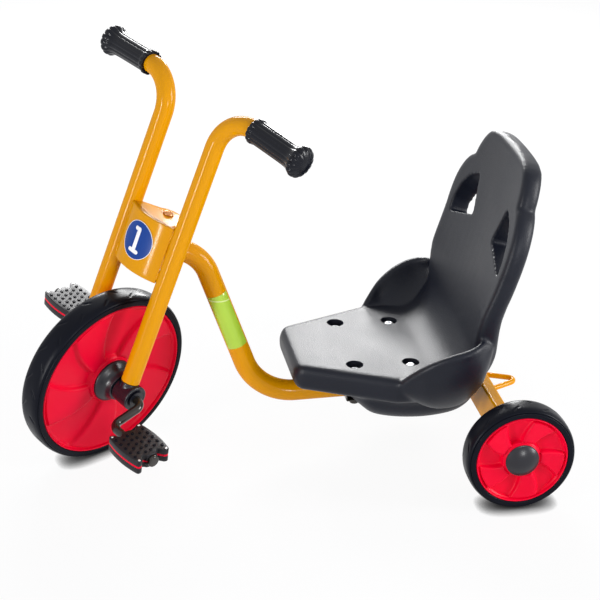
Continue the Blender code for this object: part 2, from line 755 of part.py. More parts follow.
def fork_tube_tools(gap=GAP):
    """Round bodies a little larger than the two fork tubes, which cope the plates between them."""
    tools = []
    for side in (1, -1):
        low = on_fork(side * FORK_HALF_SPREAD, FORK_LEAD, HEAD_PLATE_LOW - 0.02)
        rod = lathe(rod_profile(0, HEAD_PLATE_HIGH - HEAD_PLATE_LOW + 0.04, FORK_TUBE_RADIUS + gap), 32, "Z")
        tools.append(moved(rod, low))
    return joined(tools)


def arc_points(half, offset, count):
    """Points on the head plate's arc, moved inwards by the offset, as (across, ahead)."""
    radius, centre = shelf_arc(0.0)
    limit = math.asin(half / radius)
    points = []
    for angle in np.linspace(-limit, limit, count):
        points.append(((radius - offset) * math.sin(angle), centre + (radius - offset) * math.cos(angle)))
    return points


def build_head_plates(fork):
    outer = arc_points(HEAD_PLATE_HALF, 0.0, 15)
    inner = arc_points(HEAD_PLATE_HALF, PLATE_THICKNESS, 15)
    outline = [(x, -y) for x, y in outer] + [(x, -y) for x, y in reversed(inner)]
    plate = add_piece(
        "head_front_plate",
        prism(outline, AXLE_ALONG + HEAD_PLATE_LOW, AXLE_ALONG + HEAD_PLATE_HIGH),
        "orange_powder_coat",
        fork,
    )
    apply_tool(plate, fork_tube_tools())
    front = arc_points(HEAD_PLATE_HALF - 0.002, PLATE_THICKNESS + GAP, 11)
    start = math.radians(-15.0)
    back = []
    for angle in np.linspace(start, -math.pi - start, 9):
        back.append((SHELF_APEX_RADIUS * math.cos(angle), SHELF_APEX_RADIUS * math.sin(angle)))
    side_point = (FORK_HALF_SPREAD - 0.010, FORK_LEAD - 0.004)
    outline = front + [side_point] + back + [(-side_point[0], side_point[1])]
    outline = [(x, -y) for x, y in outline]
    hole = bore(PIVOT_RADIUS, TUBE_SIDES)
    lips = {
        "head_top_plate": HEAD_PLATE_HIGH - SHELF_THICKNESS - GAP,
        "head_bottom_plate": HEAD_PLATE_LOW + GAP,
    }
    for name, low in lips.items():
        start = AXLE_ALONG + low
        shelf = add_piece(name, prism(outline, start, start + SHELF_THICKNESS), "orange_powder_coat", fork)
        apply_tool(shelf, fork_tube_tools())
        drill = lathe(rod_profile(start - 0.01, start + 0.02, hole), TUBE_SIDES, "Z")
        apply_tool(shelf, drill)


def bend_on_plate(bm, offset):
    """Lays a flat body, built in (across, along the plate), on the curved head plate."""
    radius, centre = shelf_arc(0.0)
    for vert in bm.verts:
        across, along, depth = vert.co
        reach = radius + offset + depth
        angle = across / radius
        place = on_fork(reach * math.sin(angle), centre + reach * math.cos(angle), DISC_HEIGHT + along)
        vert.co = place
    return bm


def disc_body(radius, thickness, rings_count, sides):
    """A round plate with enough rings to bend smoothly."""
    profile = [(0.0, radius * step / rings_count) for step in range(rings_count + 1)]
    profile += [(thickness, radius * step / rings_count) for step in range(rings_count, -1, -1)]
    return lathe(profile, sides, "Z")


def numeral_body():
    """The figure 1 with a flag and a foot, built up from small blocks so that it can bend."""
    stem = NUMERAL_STEM / 2
    reach = NUMERAL_WIDTH / 2
    half = NUMERAL_HEIGHT / 2
    bar = NUMERAL_BAR
    columns = [-reach, -(reach + stem) / 2, -stem, 0.0, stem, (reach + stem) / 2, reach]
    rows = [-half, bar - half, half - bar, half]
    bm = bmesh.new()
    corners = {}
    for level, height in enumerate((0.0, NUMERAL_THICKNESS)):
        for i, x in enumerate(columns):
            for j, y in enumerate(rows):
                corners[level, i, j] = (x, y, height)
    filled = {(i, j) for i in (2, 3) for j in (0, 1, 2)}
    filled |= {(i, 0) for i in range(6)}
    filled |= {(0, 2), (1, 2)}
    verts = {}

    def vert(level, i, j):
        key = (level, i, j)
        if key not in verts:
            verts[key] = bm.verts.new(corners[key])
        return verts[key]

    for i, j in sorted(filled):
        bm.faces.new((vert(0, i, j), vert(0, i + 1, j), vert(0, i + 1, j + 1), vert(0, i, j + 1)))
        bm.faces.new((vert(1, i, j), vert(1, i + 1, j), vert(1, i + 1, j + 1), vert(1, i, j + 1)))
        walls = (
            ((i - 1, j), (i, j), (i, j + 1)),
            ((i + 1, j), (i + 1, j), (i + 1, j + 1)),
            ((i, j - 1), (i, j), (i + 1, j)),
            ((i, j + 1), (i, j + 1), (i + 1, j + 1)),
        )
        for neighbour, first, second in walls:
            if neighbour not in filled:
                bm.faces.new((vert(0, *first), vert(0, *second), vert(1, *second), vert(1, *first)))
    return bm


def build_number(fork):
    disc = bend_on_plate(disc_body(DISC_RADIUS, DISC_THICKNESS, 4, 28), GAP)
    add_piece("number_disc", disc, "blue_vinyl", fork)
    figure = bend_on_plate(numeral_body(), DISC_THICKNESS + 2 * GAP)
    add_piece("number_one", figure, "white_vinyl", fork)


def build_pivot(fork):
    top = AXLE_ALONG + HEAD_PLATE_HIGH
    bottom = AXLE_ALONG + HEAD_PLATE_LOW + GAP
    nut_height = 0.008
    head_base = top + GAP
    end = bottom - GAP - nut_height - 0.002
    profile = [
        (end, 0.0),
        (end, PIVOT_RADIUS),
        (head_base, PIVOT_RADIUS),
        (head_base, 0.0085),
        (head_base + 0.004, 0.0080),
        (head_base + 0.006, 0.0050),
        (head_base + 0.0065, 0.0),
    ]
    add_piece("pivot_bolt", lathe(profile, TUBE_SIDES, "Z"), "copper_steel", fork)
    body = moved(nut(0.0092, bore(PIVOT_RADIUS, 12), nut_height), (0, 0, bottom - GAP - nut_height))
    add_piece("pivot_nut", body, "zinc_steel", fork)


def build_hub_housings(fork, axle):
    bush_outer = CRANK_RADIUS + CRANK_BUSH_WALL
    for name, side in (("left", 1), ("right", -1)):
        inner, outer = sorted((side * HOUSING_INNER, side * HOUSING_OUTER))
        body = lathe(rod_profile(inner, outer, HOUSING_RADIUS), 24)
        centre = on_fork(0, WHEEL_LEAD, 0)
        housing = add_piece(f"hub_bearing_{name}", moved(body, centre), "black_plastic", fork)
        spigot_radius = (FORK_TUBE_RADIUS - TUBE_WALL) * math.cos(math.pi / TUBE_SIDES) - GAP
        spigot_foot = on_fork(side * FORK_HALF_SPREAD, FORK_LEAD, 0.0)
        spigot = [
            (0.0, 0.0),
            (0.055, 0.0),
            (0.055, spigot_radius),
            (FORK_FOOT - GAP, spigot_radius),
            (FORK_FOOT - GAP, COLLAR_RADIUS),
            (0.0, COLLAR_RADIUS),
        ]
        apply_tool(housing, moved(lathe(spigot, 20, "Z"), spigot_foot), "UNION")
        drill = lathe(rod_profile(-0.12, 0.12, bore(bush_outer, TUBE_SIDES)), TUBE_SIDES)
        apply_tool(housing, moved(drill, centre))
        hole = bore(CRANK_RADIUS, TUBE_SIDES, RUNNING_GAP)
        flange_end = HOUSING_OUTER + GAP + 0.0020
        profile = [
            (side * HOUSING_INNER, hole),
            (side * flange_end, hole),
            (side * flange_end, 0.0135),
            (side * (HOUSING_OUTER + GAP), 0.0135),
            (side * (HOUSING_OUTER + GAP), bush_outer),
            (side * HOUSING_INNER, bush_outer),
        ]
        bush = moved(lathe(profile, TUBE_SIDES), centre)
        add_piece(f"crank_bush_{name}", bush, "black_plastic", fork)


# Front wheel

def build_front_wheel(axle):
    add_piece("front_tyre", lathe(FRONT_PROFILE, FRONT_SIDES), "black_tyre", axle)
    hub_half = FRONT_TYRE_HALF_WIDTH - 0.0008
    shaft_hole = bore(CRANK_RADIUS, FRONT_SIDES)
    profile = rim_profile(
        FRONT_RIM_RADIUS * math.cos(math.pi / FRONT_SIDES),
        FRONT_TYRE_HALF_WIDTH,
        FRONT_WEB_HALF,
        FRONT_BOSS_RADIUS,
        hub_half,
        shaft_hole,
    )
    rim = add_piece("front_rim", lathe(profile, FRONT_SIDES), "red_plastic", axle)
    pocket = rod_profile(-DRIVE_PIN_HALF - GAP, DRIVE_PIN_HALF + GAP, DRIVE_PIN_RADIUS + GAP)
    apply_tool(rim, lathe(pocket, ROD_SIDES, "Z"))
    pin = rod_profile(-DRIVE_PIN_HALF, DRIVE_PIN_HALF, DRIVE_PIN_RADIUS)
    add_piece("drive_pin", lathe(pin, ROD_SIDES, "Z"), "zinc_steel", axle)
    for name, side in (("left", 1), ("right", -1)):
        start = hub_half + GAP
        neck = HOUSING_INNER - 2 * GAP
        span = neck - start
        hole = bore(CRANK_RADIUS, TUBE_SIDES)
        profile = [
            (side * start, hole),
            (side * neck, hole),
            (side * neck, BELL_NECK_RADIUS),
            (side * (start + 0.66 * span), BELL_NECK_RADIUS + 0.0012),
            (side * (start + 0.44 * span), BELL_NECK_RADIUS + 0.0060),
            (side * (start + 0.26 * span), BELL_BASE_RADIUS - 0.0030),
            (side * (start + 0.10 * span), BELL_BASE_RADIUS),
            (side * start, BELL_BASE_RADIUS),
        ]
        add_piece(f"hub_flange_{name}", lathe(profile, 24), "black_plastic", axle)


def crank_end(side):
    """Where the pedal spindle's centreline stands, seen from the wheel's centre."""
    return Vector((0, -side * CRANK_FORWARD, -side * CRANK_DOWN))


def spindle_end():
    """How far out a pedal spindle reaches."""
    return PEDAL_X + PEDAL_BOSS_END + 0.0035


def build_crank(axle):
    corners = [
        crank_end(1) + Vector((spindle_end(), 0, 0)),
        crank_end(1) + Vector((CRANK_PLANE, 0, 0)),
        Vector((CRANK_PLANE, 0, 0)),
        Vector((-CRANK_PLANE, 0, 0)),
        crank_end(-1) + Vector((-CRANK_PLANE, 0, 0)),
        crank_end(-1) + Vector((-spindle_end(), 0, 0)),
    ]
    path = filleted_path(corners, [CRANK_BEND_RADIUS] * 4, 0.0045)
    crank = add_piece("crank", sweep(path, ring(CRANK_RADIUS, ROD_SIDES)), "black_steel", axle)
    drill = lathe(rod_profile(-0.02, 0.02, DRIVE_PIN_RADIUS + GAP), ROD_SIDES, "Z")
    apply_tool(crank, drill)
    for side_name, side in (("left", 1), ("right", -1)):
        start = PEDAL_X + PEDAL_BOSS_END + 2 * GAP
        depth = spindle_end() + GAP
        end = depth + 0.0020
        hole = bore(CRANK_RADIUS, ROD_SIDES)
        profile = [
            (side * start, hole),
            (side * start, 0.0098),
            (side * (end - 0.001), 0.0098),
            (side * end, 0.0085),
            (side * end, 0.0),
            (side * depth, 0.0),
            (side * depth, hole),
        ]
        cap = moved(lathe(profile, TUBE_SIDES), crank_end(side))
        add_piece(f"pedal_retainer_{side_name}", cap, "black_steel", axle)


# Pedals

def pedal_outline(inset=0.0):
    """Plan of a pedal: bowed long sides, and ends with a round boss between two pointed corners."""
    quarter = []
    corner_x = PEDAL_HALF_LENGTH - inset
    corner_y = PEDAL_HALF_WIDTH - inset
    for x in np.linspace(0.0, corner_x, 5)[:-1]:
        bow = PEDAL_BULGE * (1 - (x / corner_x) ** 2)
        quarter.append((x, corner_y + bow))
    quarter.append((corner_x - 0.0015, corner_y))
    quarter.append((corner_x, corner_y - 0.002))
    quarter.append((corner_x - 0.0010, corner_y - 0.0075))
    quarter.append((PEDAL_NOTCH_END - inset, PEDAL_BOSS_RADIUS + 0.003))
    quarter.append((PEDAL_BOSS_END - 0.004, PEDAL_BOSS_RADIUS - inset))
    quarter.append((PEDAL_BOSS_END - 0.0008, 0.0080 - inset))
    quarter.append((PEDAL_BOSS_END, 0.0))
    right = quarter + [(x, -y) for x, y in reversed(quarter[:-1])]
    left = [(-x, -y) for x, y in right[1:-1]]
    return (right + left)[::-1]


def build_pedal(side_name, side, tilt, axle):
    place = crank_end(side) + Vector((side * PEDAL_X, 0, 0))
    carrier = add_empty(f"pedal_{side_name}", place, Matrix.Rotation(tilt, 3, "X"), axle)
    layer = PEDAL_LAYER_HALF
    half = PEDAL_HALF_THICKNESS
    for name, low, high in (("upper", layer + GAP, half), ("lower", -half, -layer - GAP)):
        slab = add_piece(f"pedal_{name}_{side_name}", prism(pedal_outline(), low, high), "black_plastic", carrier)
        groove = lathe(rod_profile(-0.05, 0.05, bore(PEDAL_SLEEVE_RADIUS, 20)), 20)
        apply_tool(slab, groove)
    core = add_piece(f"pedal_core_{side_name}", prism(pedal_outline(0.0004), -layer, layer), "red_plastic", carrier)
    apply_tool(core, lathe(rod_profile(-PEDAL_BOSS_END, PEDAL_BOSS_END, PEDAL_SLEEVE_RADIUS), 20), "UNION")
    drill = lathe(rod_profile(-0.05, 0.05, bore(CRANK_RADIUS, 20, RUNNING_GAP)), 20)
    apply_tool(core, drill)


# Seat

def seat_line(station):
    """The seating face in side view: place, way along it and way out of it, as (y, z) pairs."""
    flat = (SEAT_BEND_Y - SEAT_FRONT_Y) / math.cos(SEAT_TILT)
    turn = math.pi / 2 - SEAT_RECLINE + SEAT_TILT
    front_z = SEAT_HOLE_Z + math.tan(SEAT_TILT) * (SEAT_HOLE_Y - SEAT_FRONT_Y)
    along = np.array([math.cos(SEAT_TILT), -math.sin(SEAT_TILT)])
    up = np.array([math.sin(SEAT_TILT), math.cos(SEAT_TILT)])
    front = np.array([behind_axle(SEAT_FRONT_Y), front_z])
    bend = SEAT_BEND_RADIUS * turn
    if station <= flat:
        return front + along * station, along, up
    centre = front + along * flat + up * SEAT_BEND_RADIUS
    angle = min(turn, (station - flat) / SEAT_BEND_RADIUS)
    way = along * math.cos(angle) + up * math.sin(angle)
    out = up * math.cos(angle) - along * math.sin(angle)
    place = centre - out * SEAT_BEND_RADIUS
    return place + way * max(0.0, station - flat - bend), way, out


def seat_station_at(height):
    """Station on the back where the seating face reaches a height."""
    flat = (SEAT_BEND_Y - SEAT_FRONT_Y) / math.cos(SEAT_TILT)
    start = flat + SEAT_BEND_RADIUS * (math.pi / 2 - SEAT_RECLINE + SEAT_TILT)
    place, way, _ = seat_line(start)
    return start + (height - place[1]) / way[1]


def seat_half_width(station):
    """Half width of the sheet: tapered towards the front, widest at the shoulders, round at the crown."""
    place = seat_line(station)[0]
    y = place[0] - REAR_AXLE_Y
    z = place[1]
    if z < SEAT_SHOULDER_Z - 0.10 and y < SEAT_BEND_Y:
        share = (y - SEAT_FRONT_Y) / (-0.161 - SEAT_FRONT_Y)
        return SEAT_FRONT_HALF + (SEAT_SIDE_HALF - SEAT_FRONT_HALF) * min(1.0, share)
    if z < 0.34:
        share = (z - 0.158) / (0.34 - 0.158)
        share = min(1.0, max(0.0, share))
        return SEAT_SIDE_HALF + (SEAT_BACK_HALF - SEAT_SIDE_HALF) * math.sin(share * math.pi / 2)
    if z < SEAT_SHOULDER_Z:
        share = (z - 0.355) / (SEAT_SHOULDER_Z - 0.355)
        share = min(1.0, max(0.0, share))
        return SEAT_CROWN_HALF + (SEAT_BACK_HALF - SEAT_CROWN_HALF) * math.sqrt(1 - share**2.2)
    share = (z - SEAT_SHOULDER_Z) / (SEAT_TOP_Z - SEAT_SHOULDER_Z)
    return SEAT_CROWN_HALF * math.sqrt(max(0.0, 1 - min(1.0, share) ** 2))


def seat_thickness(station, last):
    """Thickness of the sheet, rolled off at the front edge and at the crown."""
    place = seat_line(station)[0]
    y = place[0] - REAR_AXLE_Y
    share = min(1.0, max(0.0, (y - SEAT_FRONT_Y) / (SEAT_BEND_Y - SEAT_FRONT_Y)))
    thickness = SEAT_FRONT_THICKNESS + (SEAT_BEND_THICKNESS - SEAT_FRONT_THICKNESS) * share
    if place[1] > 0.19:
        share = min(1.0, (place[1] - 0.19) / 0.10)
        thickness = SEAT_BEND_THICKNESS + (SEAT_BACK_THICKNESS - SEAT_BEND_THICKNESS) * share
    from_end = min(station, last - station)
    roll = 0.014
    if from_end < roll:
        return thickness, thickness * (0.30 + 0.70 * math.sqrt(1 - (1 - from_end / roll) ** 2))
    return thickness, thickness


def seat_section(half_width, full, thick, hug):
    """One section of the sheet as (across, out of the seating face) pairs with round edges."""
    radius = min(SEAT_EDGE_RADIUS, thick * 0.48, half_width * 0.45)
    middle = -full / 2
    top = middle + thick / 2
    low = middle - thick / 2
    points = []
    corners = (
        (half_width - radius, top - radius, 90.0, 0.0),
        (half_width - radius, low + radius, 0.0, -90.0),
        (-half_width + radius, low + radius, -90.0, -180.0),
        (-half_width + radius, top - radius, 180.0, 90.0),
    )
    for index, (x, out, start, stop) in enumerate(corners):
        for angle in np.linspace(math.radians(start), math.radians(stop), 4):
            points.append((x + radius * math.cos(angle), out + radius * math.sin(angle)))
        if index in (1, 3):
            level = low if index == 1 else top
            sign = 1 if index == 1 else -1
            for share in (0.6, 0.25, -0.25, -0.6):
                points.append((sign * share * (half_width - radius), level))
    return [(x, out + hug * (x / SEAT_BACK_HALF) ** 2) for x, out in points]


def seat_sheet():
    """The bent sheet of the seat, from the front edge over the bend to the crown."""
    last = seat_station_at(SEAT_TOP_Z)
    shoulder = seat_station_at(SEAT_SHOULDER_Z)
    widest = seat_station_at(0.355)
    flat = (SEAT_BEND_Y - SEAT_FRONT_Y) / math.cos(SEAT_TILT)
    bend_end = seat_station_at(0.215)
    stations = [0.0, 0.003, 0.008, 0.014, 0.06, 0.11, 0.156]
    stations += list(np.linspace(flat, bend_end, 7))
    stations += [seat_station_at(0.26), seat_station_at(0.31), widest]
    stations += [widest + (shoulder - widest) * share for share in (0.35, 0.6, 0.78, 0.9, 1.0)]
    stations += [shoulder + (last - shoulder) * share for share in (0.3, 0.55, 0.74, 0.87, 0.95, 0.99)]
    sections = []
    for station in stations:
        place, way, out = seat_line(station)
        full, thick = seat_thickness(station, last)
        half = seat_half_width(station)
        if station < 0.014:
            half -= 0.012 * (1 - math.sqrt(1 - (1 - station / 0.014) ** 2))
        hug = SEAT_BACK_HUG * min(1.0, max(0.0, (place[1] - 0.165) / 0.1))
        section = []
        for across, raised in seat_section(half, full, thick, hug):
            y, z = place + out * raised
            section.append((across, y, z))
        sections.append(section)
    return loft(sections)


RIM_CURVE = [
    (0.1440, -0.1640, 0.1520),
    (0.1560, -0.1470, 0.1740),
    (0.1700, -0.1270, 0.1940),
    (0.1800, -0.1030, 0.2100),
    (0.1860, -0.0800, 0.2200),
    (0.1870, -0.0620, 0.2250),
    (0.1800, -0.0450, 0.2290),
    (0.1640, -0.0300, 0.2320),
]
CREASE_CURVE = [
    (0.1400, -0.1600, 0.1500),
    (0.1240, -0.1400, 0.1560),
    (0.1160, -0.1150, 0.1550),
    (0.1160, -0.0850, 0.1580),
    (0.1220, -0.0600, 0.1680),
    (0.1320, -0.0420, 0.1840),
    (0.1430, -0.0290, 0.2040),
    (0.1540, -0.0190, 0.2260),
]
LOWER_CURVE = [
    (0.1400, -0.1630, 0.1400),
    (0.1460, -0.1350, 0.1230),
    (0.1490, -0.1100, 0.1110),
    (0.1500, -0.0880, 0.1080),
    (0.1510, -0.0640, 0.1120),
    (0.1530, -0.0430, 0.1280),
    (0.1560, -0.0260, 0.1560),
    (0.1580, -0.0120, 0.2150),
]
BOLSTER_ROLL = 0.0075
BOLSTER_BULGE = 0.0120
BOLSTER_SCOOP = 0.0120


def bolster(side):
    """One side bolster: a lens between its crease on the seat, its upper rim and its lower edge."""
    count = 13
    rims = smooth_curve(RIM_CURVE, count)
    creases = smooth_curve(CREASE_CURVE, count)
    lowers = smooth_curve(LOWER_CURVE, count)
    sections = []
    for rim, crease, lower in zip(rims, creases, lowers):
        outwards = np.array([1.0, 0.0, 0.0])
        rise = rim - 0.5 * (crease + lower)
        height = np.linalg.norm(rise)
        rise /= height
        across = outwards - rise * outwards.dot(rise)
        across /= np.linalg.norm(across)
        roll = min(BOLSTER_ROLL, 0.28 * height)
        scoop = min(BOLSTER_SCOOP, 0.18 * height)
        bulge = min(BOLSTER_BULGE, 0.18 * height)
        inner_top = rim - rise * roll - across * roll
        outer_top = rim - rise * roll + across * roll
        section = []
        for share in np.linspace(0, 1, 5)[:-1]:
            sag = scoop * 4 * share * (1 - share)
            section.append(crease + (inner_top - crease) * share + across * sag - rise * sag * 0.5)
        for angle in np.linspace(math.pi, 0, 5):
            section.append(rim - rise * roll + across * roll * math.cos(angle) + rise * roll * math.sin(angle))
        for share in np.linspace(0, 1, 6)[1:]:
            swell = bulge * 4 * share * (1 - share)
            section.append(outer_top + (lower - outer_top) * share + across * swell)
        section.append(0.5 * (lower + crease) - outwards * min(0.030, 0.5 * height))
        sections.append([(side * x, behind_axle(y), z) for x, y, z in section])
    return loft(sections)


TUB_SECTIONS = (
    # distance behind the axle, half width of the flat below, underside height, top height
    (-0.2450, 0.074, 0.1250, 0.1400),
    (-0.2300, 0.078, 0.1110, 0.1400),
    (-0.2120, 0.082, 0.0950, 0.1400),
    (-0.1930, 0.084, 0.0800, 0.1400),
    (-0.1600, 0.085, 0.0710, 0.1400),
    (-0.1200, 0.086, 0.0670, 0.1400),
    (-0.0850, 0.086, 0.0680, 0.1400),
    (-0.0560, 0.085, 0.0730, 0.1480),
    (-0.0360, 0.084, 0.0850, 0.1620),
    (-0.0220, 0.082, 0.1050, 0.1820),
)
TUB_INSET = 0.0080
TUB_CORNER_RADIUS = 0.0330


def tub():
    """The moulded tub under the seat, with round lower corners."""
    sections = []
    for y, lower, low, high in TUB_SECTIONS:
        share = min(1.0, (y - SEAT_FRONT_Y) / (-0.161 - SEAT_FRONT_Y))
        upper = SEAT_FRONT_HALF + (SEAT_SIDE_HALF - SEAT_FRONT_HALF) * share - TUB_INSET
        radius = min(TUB_CORNER_RADIUS, 0.7 * (high - low))
        section = [(upper, high)]
        for angle in np.linspace(0, -math.pi / 2, 5):
            section.append((lower + radius * math.cos(angle), low + radius + radius * math.sin(angle)))
        section += [(-x, z) for x, z in reversed(section)]
        sections.append([(x, behind_axle(y), z) for x, z in section])
    return loft(sections)


def rounded_polygon(corners, radius, steps):
    """A closed outline with an arc at each corner."""
    points = []
    count = len(corners)
    for index in range(count):
        before, corner, after = (Vector(corners[(index + shift) % count]) for shift in (-1, 0, 1))
        way_in = (corner - before).normalized()
        way_out = (after - corner).normalized()
        turn = way_in.angle(way_out)
        reach = min(radius * math.tan(turn / 2), 0.45 * min((corner - before).length, (after - corner).length))
        first = corner - way_in * reach
        last = corner + way_out * reach
        for step in range(steps + 1):
            share = step / steps
            blend = first.lerp(corner, share).lerp(corner.lerp(last, share), share)
            points.append((blend.x, blend.y))
    return points


SLOT_CORNERS = ((0.0570, 0.3546), (0.1430, 0.3270), (0.1450, 0.3500), (0.1330, 0.3800), (0.1120, 0.4030), (0.0810, 0.4180))


def slot_cutter(side):
    """A bar with the slot's outline, square to the backrest."""
    outline = rounded_polygon(SLOT_CORNERS, SLOT_CORNER_RADIUS, 3)
    place, way, out = seat_line(seat_station_at(0.37))
    scale = 1.0 / way[1]
    bm = bmesh.new()
    levels = []
    for raised in (0.06, -0.09):
        level = []
        for x, z in outline:
            y, height = place + way * (z - place[1]) * scale + out * raised
            level.append(bm.verts.new((side * x, y, height)))
        levels.append(level)
    for level in levels:
        bm.faces.new(level)
    for a in range(len(outline)):
        b = (a + 1) % len(outline)
        bm.faces.new((levels[0][a], levels[0][b], levels[1][b], levels[1][a]))
    return bm


def seat_hole_places():
    """The four seat bolts, as (x, y) in the tricycle's frame, with the pan's height there."""
    places = []
    for sx in (1, -1):
        for sy in (-1, 1):
            y = SEAT_HOLE_Y + sy * SEAT_HOLE_HALF_Y
            z = SEAT_HOLE_Z - math.tan(SEAT_TILT) * (y - SEAT_HOLE_Y)
            places.append((sx * SEAT_HOLE_HALF_X, behind_axle(y), z))
    return places


def rail_heights():
    """Underside and top of the two seat rails, which lie on the main tube."""
    low = LOW_TUBE_Z + MAIN_TUBE_RADIUS + GAP
    high = SEAT_HOLE_Z - SEAT_FRONT_THICKNESS - 0.004
    return low, high


def recess_floor():
    """Height of the floor of the bolt recesses."""
    return SEAT_HOLE_Z - math.tan(SEAT_TILT) * SEAT_HOLE_HALF_Y - SEAT_RECESS_DEPTH


def build_seat():
    seat = add_piece("seat", seat_sheet(), "black_seat")
    for side in (1, -1):
        apply_tool(seat, bolster(side), "UNION")
    apply_tool(seat, tub(), "UNION")
    for side in (1, -1):
        apply_tool(seat, slot_cutter(side))
    floor = recess_floor()
    recesses = []
    for x, y, z in seat_hole_places():
        step = [
            (0.05, 0.0),
            (0.05, bore(BOLT_RADIUS, TUBE_SIDES)),
            (floor, bore(BOLT_RADIUS, TUBE_SIDES)),
            (floor, SEAT_RECESS_RADIUS),
            (z + 0.02, SEAT_RECESS_RADIUS),
            (z + 0.02, 0.0),
        ]
        recesses.append(moved(lathe(step, TUBE_SIDES, "Z"), (x, y, 0)))
    apply_tool(seat, joined(recesses))
    low, high = rail_heights()
    channel = MAIN_TUBE_RADIUS + 0.002
    front = behind_axle(-0.30)
    apply_tool(seat, box((-channel, front, 0.03), (channel, behind_axle(0.02), low + 0.001)))
    for sy in (-1, 1):
        middle = behind_axle(SEAT_HOLE_Y + sy * SEAT_HOLE_HALF_Y)
        reach = RAIL_HALF_LENGTH + GAP
        half = RAIL_WIDTH / 2 + GAP
        apply_tool(seat, box((-reach, middle - half, 0.03), (reach, middle + half, high + GAP)))


def build_seat_mounting():
    low, high = rail_heights()
    floor = recess_floor()
    for end_name, sy in (("front", -1), ("rear", 1)):
        middle = Vector((0, behind_axle(SEAT_HOLE_Y + sy * SEAT_HOLE_HALF_Y), (low + high) / 2))
        half = Vector((RAIL_HALF_LENGTH, 0, 0))
        height = (high - low) / 2
        outer = rounded_rectangle(height, RAIL_WIDTH / 2, 0.002, 1)
        inner = rounded_rectangle(height - RAIL_WALL, RAIL_WIDTH / 2 - RAIL_WALL, 0.0008, 1)
        body = sweep([middle - half, middle + half], outer, inner)
        rail = add_piece(f"seat_rail_{end_name}", body, "orange_powder_coat")
        for side_name, side in (("left", 1), ("right", -1)):
            place = Vector((side * SEAT_HOLE_HALF_X, middle.y, 0))
            weld_nut = lathe(rod_profile(low - WELD_NUT_HEIGHT, low + 0.5 * RAIL_WALL, WELD_NUT_RADIUS), 12, "Z")
            apply_tool(rail, moved(weld_nut, place), "UNION")
            drill = lathe(rod_profile(0.05, 0.2, bore(BOLT_RADIUS, ROD_SIDES)), ROD_SIDES, "Z")
            apply_tool(rail, moved(drill, place))
            base = floor + GAP
            profile = [
                (low - WELD_NUT_HEIGHT - 0.002, 0.0),
                (low - WELD_NUT_HEIGHT - 0.002, BOLT_RADIUS),
                (base, BOLT_RADIUS),
                (base, BOLT_FLANGE_RADIUS),
                (base + 0.0015, BOLT_FLANGE_RADIUS),
                (base + 0.0015, BOLT_HEAD_RADIUS),
                (base + 0.0015 + 0.6 * BOLT_HEAD_HEIGHT, BOLT_HEAD_RADIUS * 0.85),
                (base + 0.0015 + BOLT_HEAD_HEIGHT, BOLT_HEAD_RADIUS * 0.35),
                (base + 0.0015 + BOLT_HEAD_HEIGHT, 0.0),
            ]
            bolt = moved(lathe(profile, ROD_SIDES, "Z"), place)
            add_piece(f"seat_bolt_{end_name}_{side_name}", bolt, "zinc_steel")


def build_label():
    """A thin curved patch on the near side of the down tube."""
    _, corner, foot, _ = main_tube_corners()
    down = (foot - corner).normalized()
    forward = Vector((1, 0, 0)).cross(down).normalized()
    start = corner + down * LABEL_START
    outer_radius = MAIN_TUBE_RADIUS + GAP + LABEL_THICKNESS
    sections = []
    columns = 13
    for share in (0.0, 0.5, 1.0):
        place = start + down * LABEL_LENGTH * share
        section = []
        for radius, order in ((outer_radius, 1), (MAIN_TUBE_RADIUS + GAP, -1)):
            for angle in np.linspace(-LABEL_HALF_ANGLE, LABEL_HALF_ANGLE, columns)[::order]:
                section.append(place + Vector((1, 0, 0)) * radius * math.cos(angle) + forward * radius * math.sin(angle))
        sections.append(section)
    add_piece("tube_label", loft(sections), "green_vinyl")


def main():
    clear_scene()
    head_frame = add_empty("head_axis", STEER_FOOT, Matrix.Rotation(-RAKE, 3, "X"))
    build_main_tube()
    build_head(head_frame)
    build_rear_beam()
    build_hitch_loop()
    build_rear_axle()
    build_seat()
    build_seat_mounting()
    build_label()
    fork = add_empty("steering_axis", STEER_FOOT, STEER_TURN)
    for side_name, side in (("left", 1), ("right", -1)):
        build_rear_wheel(side_name, side)
        build_fork_tube(side_name, side, fork)
    build_head_plates(fork)
    build_number(fork)
    build_pivot(fork)
    axle = add_empty("front_axle", on_fork(0, WHEEL_LEAD, 0), None, fork)
    build_hub_housings(fork, axle)
    build_front_wheel(axle)
    build_crank(axle)
    build_pedal("left", 1, PEDAL_TILT_LEFT, axle)
    build_pedal("right", -1, PEDAL_TILT_RIGHT, axle)


main()
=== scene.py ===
"""Looks of a child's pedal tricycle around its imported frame: tubes, moulded wheels and a bucket seat."""

import math

import bmesh
import bpy
import numpy as np
from mathutils import Matrix


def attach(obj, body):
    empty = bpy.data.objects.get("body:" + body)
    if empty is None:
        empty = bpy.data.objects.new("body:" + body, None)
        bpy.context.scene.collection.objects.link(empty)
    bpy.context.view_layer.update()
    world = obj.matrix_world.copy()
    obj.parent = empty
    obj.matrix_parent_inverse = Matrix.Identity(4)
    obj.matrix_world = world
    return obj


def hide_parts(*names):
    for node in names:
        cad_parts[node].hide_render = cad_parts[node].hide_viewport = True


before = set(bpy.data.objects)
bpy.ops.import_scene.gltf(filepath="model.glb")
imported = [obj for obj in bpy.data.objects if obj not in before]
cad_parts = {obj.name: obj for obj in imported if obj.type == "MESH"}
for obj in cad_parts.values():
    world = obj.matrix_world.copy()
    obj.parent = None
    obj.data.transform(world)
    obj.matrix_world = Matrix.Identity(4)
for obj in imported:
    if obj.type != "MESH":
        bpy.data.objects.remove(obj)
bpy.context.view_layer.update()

# Main sizes, in metres, as the part has them
GAP = 0.0003
REAR_AXLE_Y = 0.3345
REAR_HUB_X = 0.2757
BEAM_Z = 0.0877
